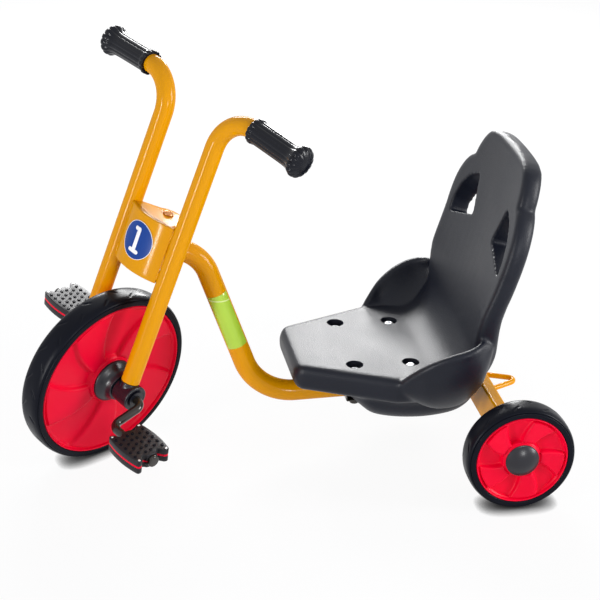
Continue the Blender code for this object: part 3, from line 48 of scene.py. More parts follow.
BEAM_HALF_DEPTH = 0.010
RAKE = math.radians(20.0)
STEERED = math.radians(34.2)
STEERING_FOOT_Y = -0.3225
AXLE_ALONG = 0.152643
WHEEL_LEAD = 0.0178
HUB_FACE = 0.0217
FORK_LEAD = 0.0205
FORK_SPREAD = 0.0620
TUBE_RADIUS = 0.0150
LEG_START = 0.0216
BAR_HEIGHT = 0.4914
BAR_BEND = 0.058
GRIP_START = 0.0612
GRIP_LENGTH = 0.1110
HEAD_RADIUS = 0.0190
PLATE_LOW = 0.1914
PLATE_HIGH = 0.2868
NUMBER_MIDDLE = 0.2424
DOWN_TUBE_RADIUS = 0.0175
DOWN_TUBE_JOIN = 0.235
DOWN_TUBE_REACH = 0.3668
DOWN_TUBE_LOW = 0.0845
UPPER_BEND = 0.068
LOWER_BEND = 0.090
STICKER_MIDDLE = 0.3040
CRANK_PLANE = 0.1013
PEDAL_X = 0.1682
PEDAL_BOSS = 0.0335
PEDAL_FACE = 0.0119

# How far a weld stands off its tube, and the longest step along a straight run
WELD_PROUD = 0.0004
STRAIGHT_STEP = 0.02

SIDES = (("left", 1), ("right", -1))


# Places

def spin(axis, angle):
    """Turn about one axis, as a 3 x 3 array."""
    return np.array(Matrix.Rotation(angle, 3, axis))


def inside(outer, origin, turn=np.eye(3)):
    """A place given inside another place: turns multiply, the origin goes through the outer turn."""
    return outer[0] @ turn, outer[1] + outer[0] @ np.asarray(origin, float)


def at(x, y, z=0.0):
    """A place with the axes of the world."""
    return np.eye(3), np.array([x, y, z])


def unit(vectors):
    """Vectors divided by their lengths."""
    vectors = np.asarray(vectors, float)
    return vectors / np.linalg.norm(vectors, axis=-1, keepdims=True)


def facing(direction):
    """Turn that carries X onto a direction that isn't upright: Y stays level and square to it."""
    main = unit(direction)
    second = unit(np.cross([0, 0, 1], main))
    return np.stack([main, second, np.cross(main, second)], axis=1)


HEAD = (spin("X", -RAKE), np.array([0.0, STEERING_FOOT_Y, 0.0]))
FORK = inside(HEAD, (0, 0, 0), spin("Z", STEERED))
FRONT_AXLE = inside(FORK, (0, -WHEEL_LEAD, AXLE_ALONG))
REAR_HUBS = {
    "left": at(REAR_HUB_X, REAR_AXLE_Y, BEAM_Z),
    "right": (spin("Z", math.pi), np.array([-REAR_HUB_X, REAR_AXLE_Y, BEAM_Z])),
}
CRANK_ARM = np.array([0.0, -0.0517, -0.0336])
PEDAL_TILT = {"left": math.radians(18.6), "right": math.radians(15.8)}
PEDALS = {
    name: inside(FRONT_AXLE, side * (CRANK_ARM + [PEDAL_X, 0, 0]), spin("X", PEDAL_TILT[name]))
    for name, side in SIDES
}


# Surfaces: every shape is a grid of two parameters, worked out as whole arrays

def shell(grid, wrap_rows=False, wrap_columns=True):
    """Quads over a grid of points: face (i, j) joins (i, j), (i+1, j), (i+1, j+1) and (i, j+1)."""
    rows, columns = grid.shape[:2]
    down = np.arange(rows if wrap_rows else rows - 1)
    across = np.arange(columns if wrap_columns else columns - 1)
    i, j = np.meshgrid(down, across, indexing="ij")
    below = (i + 1) % rows
    beside = (j + 1) % columns
    corners = [i * columns + j, below * columns + j, below * columns + beside, i * columns + beside]
    return grid.reshape(-1, 3), np.stack(corners, -1).reshape(-1, 4)


def closed(grid):
    """A tube-like grid shut at both ends, by rows at the mean of its first row and of its last."""
    first = np.broadcast_to(grid[:1].mean(1, keepdims=True), grid[:1].shape)
    last = np.broadcast_to(grid[-1:].mean(1, keepdims=True), grid[-1:].shape)
    return shell(np.concatenate([first, grid, last]))


def put(shells, place):
    """Carries shells to a place: p becomes turn p + origin."""
    return [(points @ place[0].T + place[1], quads) for points, quads in shells]


def circle(radius, sides):
    """Points (R cos a, R sin a) at equal angles."""
    angle = np.arange(sides) * 2 * math.pi / sides
    return np.stack([radius * np.cos(angle), radius * np.sin(angle)], 1)


def eased(corners, reach, steps=4, loop=True):
    """A polygon with soft corners: (1-t)^2 a + 2t(1-t) c + t^2 b, a and b a reach from c on its sides."""
    corners = np.asarray(corners, float)
    before = np.roll(corners, 1, 0) - corners
    after = np.roll(corners, -1, 0) - corners
    lengths = np.linalg.norm(before, axis=1), np.linalg.norm(after, axis=1)
    room = np.minimum(np.asarray(reach, float), 0.48 * np.minimum(*lengths))
    if not loop:
        room[[0, -1]] = 0.0
    first = corners + before * (room / lengths[0])[:, None]
    last = corners + after * (room / lengths[1])[:, None]
    t = np.linspace(0, 1, steps + 1)[None, :, None]
    points = (1 - t) ** 2 * first[:, None] + 2 * t * (1 - t) * corners[:, None] + t**2 * last[:, None]
    points = points.reshape(-1, corners.shape[1])
    if not loop:
        points = points[steps:-steps]
    return points


def through(points, count):
    """Catmull-Rom curve through points: cubic in t between each pair, with slopes (next - previous) / 2."""
    points = np.asarray(points, float)
    padded = np.vstack([2 * points[0] - points[1], points, 2 * points[-1] - points[-2]])
    t = np.linspace(0, len(points) - 1, count)
    index = np.minimum(t.astype(int), len(points) - 2)
    u = (t - index)[:, None]
    a, b, c, d = (padded[index + shift] for shift in range(4))
    return 0.5 * (2 * b + (c - a) * u + (2 * a - 5 * b + 4 * c - d) * u**2 + (3 * b - a - 3 * c + d) * u**3)


def rounded(share):
    """Height of a quarter circle over its foot, at a share s of its run: sqrt(1 - (1 - s)^2)."""
    return np.sqrt(1 - (1 - np.clip(share, 0, 1)) ** 2)


def turned(profile, sides, loop=False):
    """Turned about X: (along, r) goes to (along, r cos a, r sin a). A loop profile is closed on itself."""
    profile = np.asarray(profile, float)
    ring = circle(1.0, sides)
    grid = np.empty((len(profile), sides, 3))
    grid[..., 0] = profile[:, :1]
    grid[..., 1:] = profile[:, 1:2, None] * ring[None]
    return shell(grid, wrap_rows=loop)


def upright(shells, place):
    """Shapes turned about X, set up along the Z of a place."""
    return put(shells, inside(place, (0, 0, 0), spin("Y", -math.pi / 2)))


def bent_path(corners, radii, step):
    """Straight runs with an arc at each inner corner: a turn T at radius R starts R tan(T / 2) before it."""
    corners = np.asarray(corners, float)
    runs = []
    start = corners[0]
    for before, corner, after, radius in zip(corners, corners[1:], corners[2:], radii):
        way_in = unit(corner - before)
        way_out = unit(after - corner)
        turn = math.acos(float(np.clip(way_in @ way_out, -1, 1)))
        reach = radius * math.tan(turn / 2)
        side = unit(way_out - way_in * (way_out @ way_in))
        first = corner - way_in * reach
        angle = np.linspace(0, turn, max(4, round(radius * turn / step)))[:, None]
        pieces = max(2, round(np.linalg.norm(first - start) / STRAIGHT_STEP))
        runs.append(start + (first - start) * np.linspace(0, 1, pieces, endpoint=False)[:, None])
        runs.append(first + side * radius * (1 - np.cos(angle)) + way_in * radius * np.sin(angle))
        start = runs[-1][-1]
        runs[-1] = runs[-1][:-1]
    pieces = max(2, round(np.linalg.norm(corners[-1] - start) / STRAIGHT_STEP))
    runs.append(start + (corners[-1] - start) * np.linspace(0, 1, pieces)[:, None])
    return np.concatenate(runs)


def carried(path, section, square_to, scale=None, loop=False):
    """Section (u, v) carried along a path: p + k (u side + v up), side = way x up, up near a given way."""
    if loop:
        way = unit(np.roll(path, -1, 0) - np.roll(path, 1, 0))
    else:
        way = np.gradient(path, axis=0)
        step = np.linalg.norm(np.diff(path, axis=0), axis=1)
        way[1:-1] = (path[2:] - path[1:-1]) / step[1:, None] + (path[1:-1] - path[:-2]) / step[:-1, None]
        way = unit(way)
    up = np.broadcast_to(np.asarray(square_to, float), path.shape)
    side = unit(np.cross(way, up))
    up = np.cross(side, way)
    k = np.ones(len(path)) if scale is None else np.asarray(scale)
    grid = path[:, None] + k[:, None, None] * (
        section[None, :, :1] * side[:, None] + section[None, :, 1:] * up[:, None]
    )
    return shell(grid, wrap_rows=True) if loop else closed(grid)


def slab(outline, low, high, ease, centre):
    """A flat plate: the outline at heights from low to high, drawn in by the ease at both faces."""
    outline = np.asarray(outline, float)
    way = np.roll(outline, -1, 0) - np.roll(outline, 1, 0)
    inward = unit(np.stack([-way[:, 1], way[:, 0]], 1))
    area = np.sum(outline[:, 0] * np.roll(outline[:, 1], -1) - outline[:, 1] * np.roll(outline[:, 0], -1))
    inward *= math.copysign(1.0, area)
    angle = np.linspace(0, math.pi / 2, 4)
    drawn = ease * (1 - np.sin(angle))
    lift = ease * (1 - np.cos(angle))
    drawn = np.concatenate([drawn, drawn[::-1]])
    height = np.concatenate([low + lift, high - lift[::-1]])
    flat = outline[None] + inward[None] * drawn[:, None, None]
    grid = np.concatenate([flat, np.broadcast_to(height[:, None, None], flat.shape[:2] + (1,))], 2)
    middle = np.zeros_like(grid[:1])
    middle[..., :2] = centre

    def face(row, height):
        """Rows that fill a face, from its middle out."""
        return [middle + share * (row - middle) * [1, 1, 0] + [0, 0, height] for share in (0.0, 0.35, 0.7)]

    return shell(np.concatenate(face(grid[:1], low) + [grid] + face(grid[-1:], high)[::-1]))


def bead(path, radius, square_to, loop=False):
    """A weld run: a round section whose radius swells by a sixth once for each drop of metal."""
    drop = 0.0026
    length = np.concatenate([[0], np.cumsum(np.linalg.norm(np.diff(path, axis=0), axis=1))])
    swell = 1 + 0.16 * np.abs(np.sin(length * math.pi / drop))
    if not loop:
        share = length / length[-1]
        swell *= np.sqrt(np.clip(1 - np.abs(2 * share - 1) ** 8, 0.02, 1))
    return carried(path, circle(radius, 10), square_to, swell, loop)


# Meshes

def mesh_of(name, shells):
    """Joins shells in one mesh, merges equal points and turns the faces outwards."""
    starts = np.cumsum([0] + [len(points) for points, _ in shells[:-1]])
    points = np.concatenate([points for points, _ in shells])
    quads = np.concatenate([quads + start for (_, quads), start in zip(shells, starts)])
    mesh = bpy.data.meshes.new(name)
    mesh.from_pydata(points.tolist(), [], quads.tolist())
    bm = bmesh.new()
    bm.from_mesh(mesh)
    bmesh.ops.remove_doubles(bm, verts=bm.verts, dist=2e-6)
    bmesh.ops.dissolve_degenerate(bm, edges=bm.edges, dist=1e-7)
    bmesh.ops.recalc_face_normals(bm, faces=bm.faces)
    bm.to_mesh(mesh)
    bm.free()
    return mesh


def settled(thing, modifiers):
    """Applies modifiers, given as (kind, settings) pairs, to a mesh object."""
    for kind, settings in modifiers:
        modifier = thing.modifiers.new(kind.lower(), kind)
        for key, value in settings.items():
            setattr(modifier, key, value)
    ready = thing.evaluated_get(bpy.context.evaluated_depsgraph_get())
    mesh = bpy.data.meshes.new_from_object(ready)
    thing.modifiers.clear()
    thing.data = mesh


def melted(voxel, smoothing):
    """Modifiers that join overlapping shells as one skin of a given step, and then soften it."""
    return [("REMESH", {"mode": "VOXEL", "voxel_size": voxel}),
            ("SMOOTH", {"factor": 0.5, "iterations": smoothing})]


def loose(name, shells):
    """A mesh object in the scene that isn't a piece yet."""
    thing = bpy.data.objects.new(name, mesh_of(name, shells))
    bpy.context.scene.collection.objects.link(thing)
    return thing


def piece(name, shells, finish, body, stands_for=(), crease=38, modifiers=()):
    """A finished piece: shells or a mesh object, shaded smooth but for sharp edges, riding on its body."""
    thing = shells if isinstance(shells, bpy.types.Object) else loose(name, shells)
    if modifiers:
        settled(thing, modifiers)
    thing.name = name
    mesh = thing.data
    mesh.polygons.foreach_set("use_smooth", np.ones(len(mesh.polygons), bool))
    mesh.set_sharp_from_angle(angle=math.radians(crease))
    mesh.materials.clear()
    mesh.materials.append(FINISHES[finish])
    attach(thing, body)
    for node_name in stands_for:
        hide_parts(node_name)
    return thing


# Finishes

def linear(colour):
    """sRGB hex to linear RGBA."""
    channels = np.array([int(colour[i : i + 2], 16) for i in (1, 3, 5)]) / 255
    values = np.where(channels <= 0.04045, channels / 12.92, ((channels + 0.055) / 1.055) ** 2.4)
    return (*values.tolist(), 1.0)


def add(tree, kind, inputs=None, **settings):
    """Adds a node with its settings; inputs are numbers, or sockets to link."""
    made = tree.nodes.new(kind)
    for key, value in settings.items():
        setattr(made, key, value)
    for key, value in (inputs or {}).items():
        if isinstance(value, bpy.types.NodeSocket):
            tree.links.new(value, made.inputs[key])
        else:
            made.inputs[key].default_value = value
    return made


def emptied(owner):
    """The node tree of a new material or world, with nothing in it."""
    owner.use_nodes = True
    owner.node_tree.nodes.clear()
    return owner.node_tree


def finish_of(name, colours, roughness, grain, depth, blotch=0.12, specular=0.5, metallic=0.0,
              coat=(0.0, 0.03), **shader):
    """Two near tones in blotches, roughness that wanders with them, and a grain of a real size.

    grain and blotch are in metres: Object coordinates are metres too, so a noise scale is one over them.
    coat is the weight and the roughness of a clear layer.
    """
    material = bpy.data.materials.new(name)
    tree = emptied(material)
    where = add(tree, "ShaderNodeTexCoord").outputs["Object"]
    cloud = add(tree, "ShaderNodeTexNoise",
                {"Vector": where, "Scale": 1 / blotch, "Detail": 3.0, "Roughness": 0.6}).outputs["Fac"]
    tone = add(tree, "ShaderNodeMix", {0: cloud, 6: linear(colours[0]), 7: linear(colours[1])},
               data_type="RGBA").outputs[2]
    rough = add(tree, "ShaderNodeMapRange", {"Value": cloud, "From Min": 0.3, "From Max": 0.7,
                                             "To Min": roughness[0], "To Max": roughness[1]}).outputs[0]
    fine = add(tree, "ShaderNodeTexNoise",
               {"Vector": where, "Scale": 1 / grain, "Detail": 2.0, "Roughness": 0.5}).outputs["Fac"]
    bump = add(tree, "ShaderNodeBump", {"Height": fine, "Strength": 1.0, "Distance": depth}).outputs[0]
    surface = add(tree, "ShaderNodeBsdfPrincipled",
                  {"Base Color": tone, "Roughness": rough, "Normal": bump, "Metallic": metallic,
                   "Specular IOR Level": specular, "Coat Weight": coat[0], "Coat Roughness": coat[1],
                   **shader})
    add(tree, "ShaderNodeOutputMaterial", {"Surface": surface.outputs[0]})
    return material


FINISHES = {}
CLEAR_FILM = (0.3, 0.1)


def build_finishes():
    """Every finish: its two tones, the least and most roughness, and the width and depth of its grain."""
    # Polyester powder coat baked on steel tube: a hard gloss over a faint orange peel about 2 mm across
    FINISHES["orange"] = finish_of(
        "powder_coated_steel_orange", ("#DA9502", "#D38F04"), (0.34, 0.42), 0.0022, 0.00004,
        specular=0.0, coat=(0.32, 0.14))
    # Injection moulded polypropylene dyed red: even, slightly milky gloss, faint flow marks along the part
    FINISHES["red"] = finish_of(
        "moulded_polypropylene_red", ("#DC0024", "#E40034"), (0.30, 0.40), 0.0016, 0.00003,
        specular=0.12, **{"Subsurface Weight": 0.04, "Subsurface Radius": (0.004, 0.001, 0.001),
                          "Subsurface Scale": 0.5})
    # Solid moulded rubber tyre, polished mould: wet-looking black that dust dulls in patches
    FINISHES["tyre"] = finish_of(
        "moulded_solid_rubber", ("#090B13", "#11131C"), (0.24, 0.36), 0.0012, 0.00003, specular=0.08)
    # Plasticised vinyl grip, dipped gloss: deep black, sharp highlights on its flutes
    FINISHES["grip"] = finish_of(
        "moulded_vinyl_grip", ("#0D0F17", "#13151D"), (0.20, 0.28), 0.0020, 0.00003, specular=0.20)
    # Rotation moulded polyethylene: a leather-like grain under a millimetre, drawn at 1.7 mm so it shows
    FINISHES["seat"] = finish_of(
        "grained_polyethylene_black", ("#0C0F1A", "#131722"), (0.38, 0.44), 0.0017, 0.00030, specular=0.26)
    # Injection moulded nylon hub parts: satin black with a soft broad highlight
    FINISHES["nylon"] = finish_of(
        "moulded_nylon_black", ("#0C0C14", "#13131D"), (0.24, 0.32), 0.0010, 0.00004, specular=0.48)
    # Grippy moulded pedal tread: same nylon with a coarser eroded face
    FINISHES["tread"] = finish_of(
        "eroded_nylon_black", ("#121116", "#19181D"), (0.34, 0.44), 0.0009, 0.00010, specular=0.26)
    # Blackened steel rod: thin oxide over drawn bar, brown where the oil has dried
    FINISHES["crank"] = finish_of(
        "blackened_steel_rod", ("#16120F", "#211912"), (0.22, 0.34), 0.0008, 0.00003,
        metallic=0.35, coat=(0.4, 0.15))
    # Zinc plated bolts: pale blue-white metal with a faint satin from the bath
    FINISHES["zinc"] = finish_of(
        "zinc_plated_steel", ("#D9DADC", "#C9CBCF"), (0.26, 0.38), 0.0010, 0.00003,
        blotch=0.006, metallic=1.0)
    # Yellow passivated pivot bolt: copper and gold tints that change across the head
    FINISHES["copper"] = finish_of(
        "yellow_passivated_steel", ("#B97A4E", "#D9A878"), (0.24, 0.36), 0.0009, 0.00003,
        blotch=0.003, metallic=1.0)
    # Turned white nylon bushes: waxy and slightly translucent
    FINISHES["bush"] = finish_of("turned_nylon_white", ("#E6E4DC", "#DEDBD2"), (0.35, 0.45), 0.0008, 0.00003)
    # Screen printed vinyl: flat colour under a clear gloss film
    FINISHES["blue"] = finish_of(
        "printed_vinyl_blue", ("#153C88", "#19428F"), (0.30, 0.36), 0.0030, 0.00002, specular=0.15)
    FINISHES["white"] = finish_of(
        "printed_vinyl_white", ("#F2F2F2", "#EDEDEE"), (0.24, 0.30), 0.0030, 0.00002, coat=CLEAR_FILM)
    FINISHES["green"] = striped_vinyl()


def striped_vinyl():
    """Plain lime sticker with a pale line near each end: where the height is 1 mm off two given heights."""
    material = finish_of(
        "printed_vinyl_green", ("#B4D23C", "#9CC634"), (0.24, 0.30), 0.0030, 0.00002, coat=CLEAR_FILM)
    tree = material.node_tree
    surface = next(n for n in tree.nodes if n.type == "BSDF_PRINCIPLED")
    tone = surface.inputs["Base Color"].links[0].from_socket
    where = next(n for n in tree.nodes if n.type == "TEX_COORD").outputs["Object"]
    line_height = 0.0400
    line_half_width = 0.0010
    height = add(tree, "ShaderNodeSeparateXYZ", {"Vector": where}).outputs["Z"]
    middle = add(tree, "ShaderNodeMath", {0: height, 1: STICKER_MIDDLE}, operation="SUBTRACT").outputs[0]
    off = add(tree, "ShaderNodeMath", {0: middle}, operation="ABSOLUTE").outputs[0]
    line = add(tree, "ShaderNodeMath", {0: off, 1: line_height, 2: line_half_width},
               operation="COMPARE").outputs[0]
    mask = add(tree, "ShaderNodeMath", {0: line, 1: 0.8}, operation="MULTIPLY").outputs[0]
    mixed = add(tree, "ShaderNodeMix", {"Factor": mask}, data_type="RGBA")
    tree.links.new(tone, mixed.inputs[6])
    mixed.inputs[7].default_value = linear("#DDEBA0")
    tree.links.new(mixed.outputs[2], surface.inputs["Base Color"])
    return material


# Frame

def build_down_tube():
    """The bent frame tube, coped to the head tube at one end and welded flat to the beam at the other."""
    sides = 56
    weld_steps = 180
    slope = math.radians(70.7)
    head = HEAD[1] + HEAD[0] @ [0, 0, 1] * (AXLE_ALONG + DOWN_TUBE_JOIN)
    away = HEAD[0] @ [0, 1, 0]
    down = np.array([0, math.cos(slope), -math.sin(slope)])
    foot = np.array([0, REAR_AXLE_Y - DOWN_TUBE_REACH, DOWN_TUBE_LOW])
    gap = foot - head
    run = (gap[1] * down[2] - gap[2] * down[1]) / (away[1] * down[2] - away[2] * down[1])
    corner = head + away * run
    end = np.array([0, REAR_AXLE_Y - BEAM_HALF_DEPTH, DOWN_TUBE_LOW])
    path = bent_path([head, corner, foot, end], [UPPER_BEND, LOWER_BEND], 0.004)
    path = path[np.linalg.norm(path - head, axis=1) > 0.030]
    section = circle(DOWN_TUBE_RADIUS, sides)
    round_end = section[:, :1] * unit(np.cross(away, [1, 0, 0])) + section[:, 1:] * [1, 0, 0]
    start = head + away * np.sqrt((HEAD_RADIUS - 0.0004) ** 2 - section[:, 1:] ** 2)
    points, _ = carried(path, section, (1, 0, 0))
    grid = points.reshape(-1, sides, 3)[1:-1]
    tube = closed(np.concatenate([(start + round_end)[None], grid]))
    saddle = head + away * np.sqrt((HEAD_RADIUS + 0.0006) ** 2 - (1.02 * section[:, 1:]) ** 2)
    weld = bead(resampled(saddle + 1.03 * round_end, weld_steps), 0.0024, loop=True, square_to=away)
    ring = circle(DOWN_TUBE_RADIUS + WELD_PROUD, weld_steps)
    against = np.full(weld_steps, end[1] - 0.0008)
    foot_ring = np.stack([ring[:, 0], against, DOWN_TUBE_LOW + ring[:, 1]], 1)
    foot_weld = bead(foot_ring, 0.0022, loop=True, square_to=(0, 1, 0))
    piece("down_tube", [tube, weld, foot_weld], "orange", "frame", ["main_tube"])
    build_sticker(corner, down)


def resampled(ring, count):
    """A closed ring of points at equal steps along its length."""
    closed_ring = np.vstack([ring, ring[:1]])
    length = np.concatenate([[0], np.cumsum(np.linalg.norm(np.diff(closed_ring, axis=0), axis=1))])
    steps = np.linspace(0, length[-1], count, endpoint=False)
    return np.stack([np.interp(steps, length, closed_ring[:, k]) for k in range(3)], 1)


def build_sticker(corner, down):
    """A thin patch lying round the near side of the down tube: an arc of 124 degrees, 100 mm long."""
    from_corner = 0.070
    length = 0.100
    limit = math.radians(62)
    forward = unit(np.cross([1, 0, 0], down))
    u = np.linspace(-1, 1, 41)
    v = np.linspace(0, 1, 33)
    side_edge = np.clip((1 - np.abs(u)) / 0.04, 0, 1)[None]
    end_edge = np.clip((0.5 - np.abs(v - 0.5)) / 0.012, 0, 1)[:, None]
    angle = (limit * u)[None] * np.ones((len(v), 1))
    outwards = np.cos(angle)[..., None] * [1, 0, 0] + np.sin(angle)[..., None] * forward
    reach = DOWN_TUBE_RADIUS + GAP + 0.0007 * np.sqrt(side_edge * end_edge)
    line = corner + (from_corner + length * v)[:, None, None] * down
    top = line + reach[..., None] * outwards
    low = line + (DOWN_TUBE_RADIUS + 0.0001) * outwards
    patch = closed(np.concatenate([top, low[:, ::-1]], 1))
    piece("tube_sticker", [patch], "green", "frame", ["tube_label"])


def build_head_sleeve():
    """The head tube: a hollow turned sleeve with softly broken edges."""
    bore = 0.0152
    low = AXLE_ALONG + PLATE_LOW + 0.0076
    high = AXLE_ALONG + PLATE_HIGH - 0.0079
    profile = eased([(low, bore), (low, HEAD_RADIUS), (high, HEAD_RADIUS), (high, bore)], 0.0008)
    sleeve = upright([turned(profile, 64, loop=True)], HEAD)
    piece("head_sleeve", sleeve, "orange", "frame", ["head_tube"])


def build_cross_beam():
    """The flat-sided rear beam: a 20 x 60 mm section with soft corners, drawn along X."""
    half_height = 0.030
    half_length = 0.2496
    corners = [(-half_height, -BEAM_HALF_DEPTH), (half_height, -BEAM_HALF_DEPTH),
               (half_height, BEAM_HALF_DEPTH), (-half_height, BEAM_HALF_DEPTH)]
    section = eased(corners, 0.0045, 8)
    end = half_length - np.array([0.0, 0.0003, 0.0006])
    drawn = np.array([0.985, 0.995, 1.0])
    x = np.concatenate([-end, np.linspace(-0.24, 0.24, 25), end[::-1]])
    scale = np.concatenate([drawn, np.ones(25), drawn[::-1]])
    grid = np.empty((len(x), len(section), 3))
    grid[..., 0] = x[:, None]
    grid[..., 1] = REAR_AXLE_Y + scale[:, None] * section[None, :, 1]
    grid[..., 2] = BEAM_Z + scale[:, None] * section[None, :, 0]
    piece("cross_beam", [closed(grid)], "orange", "frame", ["rear_beam"])
    build_tow_loop()


def build_tow_loop():
    """The bent rod behind the beam: two straight legs at 25 degrees to the middle and a tight round tip."""
    spread = 0.036
    weld_spread = 0.0356
    height = 0.070
    rod_radius = 0.0045
    tip_radius = 0.0104
    y = REAR_AXLE_Y + 0.0098
    depth = spread / math.tan(math.radians(25)) + 0.0005
    corners = [(spread, y, height), (0, y + depth, height), (-spread, y, height)]
    path = bent_path(corners, [tip_radius], 0.0012)
    rod = carried(path, circle(rod_radius, 28), (0, 0, 1))
    ring = circle(rod_radius + WELD_PROUD, 60)
    welds = []
    for _, side in SIDES:
        across = side * weld_spread + 1.05 * ring[:, 0]
        points = np.stack([across, np.full(60, y + 0.0010), height + ring[:, 1]], 1)
        welds.append(bead(points, 0.0017, loop=True, square_to=(0, 1, 0)))
    piece("tow_loop", [rod] + welds, "orange", "frame", ["hitch_loop"])


# Fork

def bar_direction(side):
    """Way of a handlebar end: out, 2.35 degrees back and 2.3 degrees down."""
    sweep = math.radians(2.35)
    drop = math.radians(2.3)
    level = math.cos(drop)
    return np.array([side * level * math.cos(sweep), level * math.sin(sweep), -math.sin(drop)])


def build_fork_tube(name, side):
    """One fork leg and handlebar end in a single bent tube, with two short welds beside the head plate."""
    foot = np.array([side * FORK_SPREAD, -FORK_LEAD, AXLE_ALONG + LEG_START])
    corner = np.array([side * FORK_SPREAD, -FORK_LEAD, AXLE_ALONG + BAR_HEIGHT])
    way = bar_direction(side)
    end = corner + way * (GRIP_START + GRIP_LENGTH - 0.0175)
    path = bent_path([foot, corner, end], [BAR_BEND], 0.0035)
    tube = carried(path, circle(TUBE_RADIUS, 52), unit(np.cross([0, 0, 1], way)))
    angle = math.radians(-90 - side * 48)
    reach = TUBE_RADIUS + WELD_PROUD
    welds = []
    for low, high in ((PLATE_HIGH - 0.020, PLATE_HIGH - 0.006), (PLATE_LOW + 0.006, PLATE_LOW + 0.020)):
        points = np.empty((40, 3))
        points[:, 0] = side * FORK_SPREAD + reach * math.cos(angle)
        points[:, 1] = -FORK_LEAD + reach * math.sin(angle)
        points[:, 2] = AXLE_ALONG + np.linspace(low, high, 40)
        welds.append(bead(points, 0.0021, square_to=(1, 0, 0)))
    shells = put([tube] + welds, FORK)
    piece(f"fork_leg_{name}", shells, "orange", "fork", [f"fork_tube_{name}"])
    build_grip(name, side, corner)


def build_grip(name, side, corner):
    """A fluted grip, r = R(s) - d(s) ((1 + cos 14a) / 2)^3: a scalloped collar, a flare and a domed end."""
    stations = through(np.array([
        # along, radius, groove depth, in mm
        (0.0, 16.0, 0.0), (0.0, 18.6, 0.9), (0.5, 20.0, 1.3), (3.0, 20.5, 1.5), (6.0, 20.4, 1.5),
        (8.2, 19.4, 1.1), (10.0, 18.8, 0.9), (16.0, 18.6, 0.9), (40.0, 18.6, 0.9), (66.0, 18.7, 0.9),
        (80.0, 19.2, 0.9), (88.0, 21.0, 1.0), (93.0, 23.8, 1.5), (96.0, 25.1, 2.2), (99.5, 25.2, 2.4),
        (102.5, 24.0, 1.9), (105.5, 20.8, 1.2), (108.0, 16.0, 0.8), (109.8, 10.5, 0.5), (110.7, 5.0, 0.1),
        (111.0, 0.0, 0.0),
    ]) / 1000, 170)
    flutes = 14
    along, radius, depth = stations.T
    angle = np.linspace(0, 2 * math.pi, 196, endpoint=False)
    groove = (0.5 + 0.5 * np.cos(flutes * angle)) ** 3
    reach = np.maximum(radius, 0)[:, None] - np.maximum(depth, 0)[:, None] * groove[None]
    grid = np.stack([
        np.broadcast_to(np.clip(along, 0, GRIP_LENGTH)[:, None], reach.shape),
        reach * np.cos(angle),
        reach * np.sin(angle),
    ], -1)
    grid[-1, :, 1:] = 0.0
    way = bar_direction(side)
    place = inside(FORK, corner + way * GRIP_START, facing(way))
    piece(f"handle_grip_{name}", put([closed(grid)], place), "grip", "fork", [f"grip_{name}"])


def plate_arc():
    """Radius, and centre ahead of the steering axis, of the head plate's outer face: (c^2 + s^2) / 2s."""
    front = 0.0480
    half_chord = 0.0520
    rise = front - 0.0310
    radius = (half_chord**2 + rise**2) / (2 * rise)
    return radius, front - radius


def build_head_plates():
    """The curved front plate, and the two flat plates folded in behind its edges."""
    steps = 61
    height = PLATE_HIGH - PLATE_LOW
    thickness = 0.0030
    shelf_thickness = 0.0040
    radius, centre = plate_arc()
    limit = math.asin(0.0505 / radius)
    angle = np.linspace(-limit, limit, steps)

    def arc(reach, turn):
        """Points on an arc about the plate's axis, with ahead as the positive way."""
        return np.stack([reach * np.sin(turn), centre + reach * np.cos(turn)], 1)

    outline = np.concatenate([arc(radius, angle), arc(radius - thickness, angle)[::-1]]) * [1, -1]
    edge = np.array([0.0, 0.0003, 0.0010, 0.0020])
    lift = np.concatenate([edge, np.linspace(0.006, height - 0.006, 12), height - edge[::-1]])
    fold = 0.0018 * (1 - rounded(np.minimum(lift, height - lift) / edge[-1]))
    pull = fold[:, None] * np.repeat([1.0, 0.25], steps)[None]
    grid = np.empty((len(lift), len(outline), 3))
    grid[..., :2] = outline[None] - pull[..., None] * unit(outline - [0, -centre])[None]
    grid[..., 2] = AXLE_ALONG + PLATE_LOW + lift[:, None]
    piece("head_plate", put([closed(grid)], FORK), "orange", "fork", ["head_front_plate"])
    front = arc(radius - thickness - GAP, angle * 0.97)
    turn = np.linspace(math.radians(-15), math.radians(-165), 33)
    back = 0.0260 * np.stack([np.cos(turn), np.sin(turn)], 1)
    corner = np.array([(0.0500, 0.0180)])
    shelf = np.concatenate([front, corner, back, corner * [-1, 1]]) * [1, -1]
    for name, low in (("top", PLATE_HIGH - shelf_thickness - GAP), ("bottom", PLATE_LOW + GAP)):
        base = AXLE_ALONG + low
        body = slab(shelf, base, base + shelf_thickness, 0.0008, centre=(0, -0.010))
        piece(f"head_shelf_{name}", put([body], FORK), "orange", "fork", [f"head_{name}_plate"])


def on_plate(points):
    """Bends flat art on the head plate: across becomes an angle about its axis, depth goes outwards."""
    radius, centre = plate_arc()
    across, along, depth = np.moveaxis(points, -1, 0)
    reach = radius + GAP + depth
    angle = across / radius
    height = AXLE_ALONG + NUMBER_MIDDLE + along
    return np.stack([reach * np.sin(angle), -(centre + reach * np.cos(angle)), height], -1)


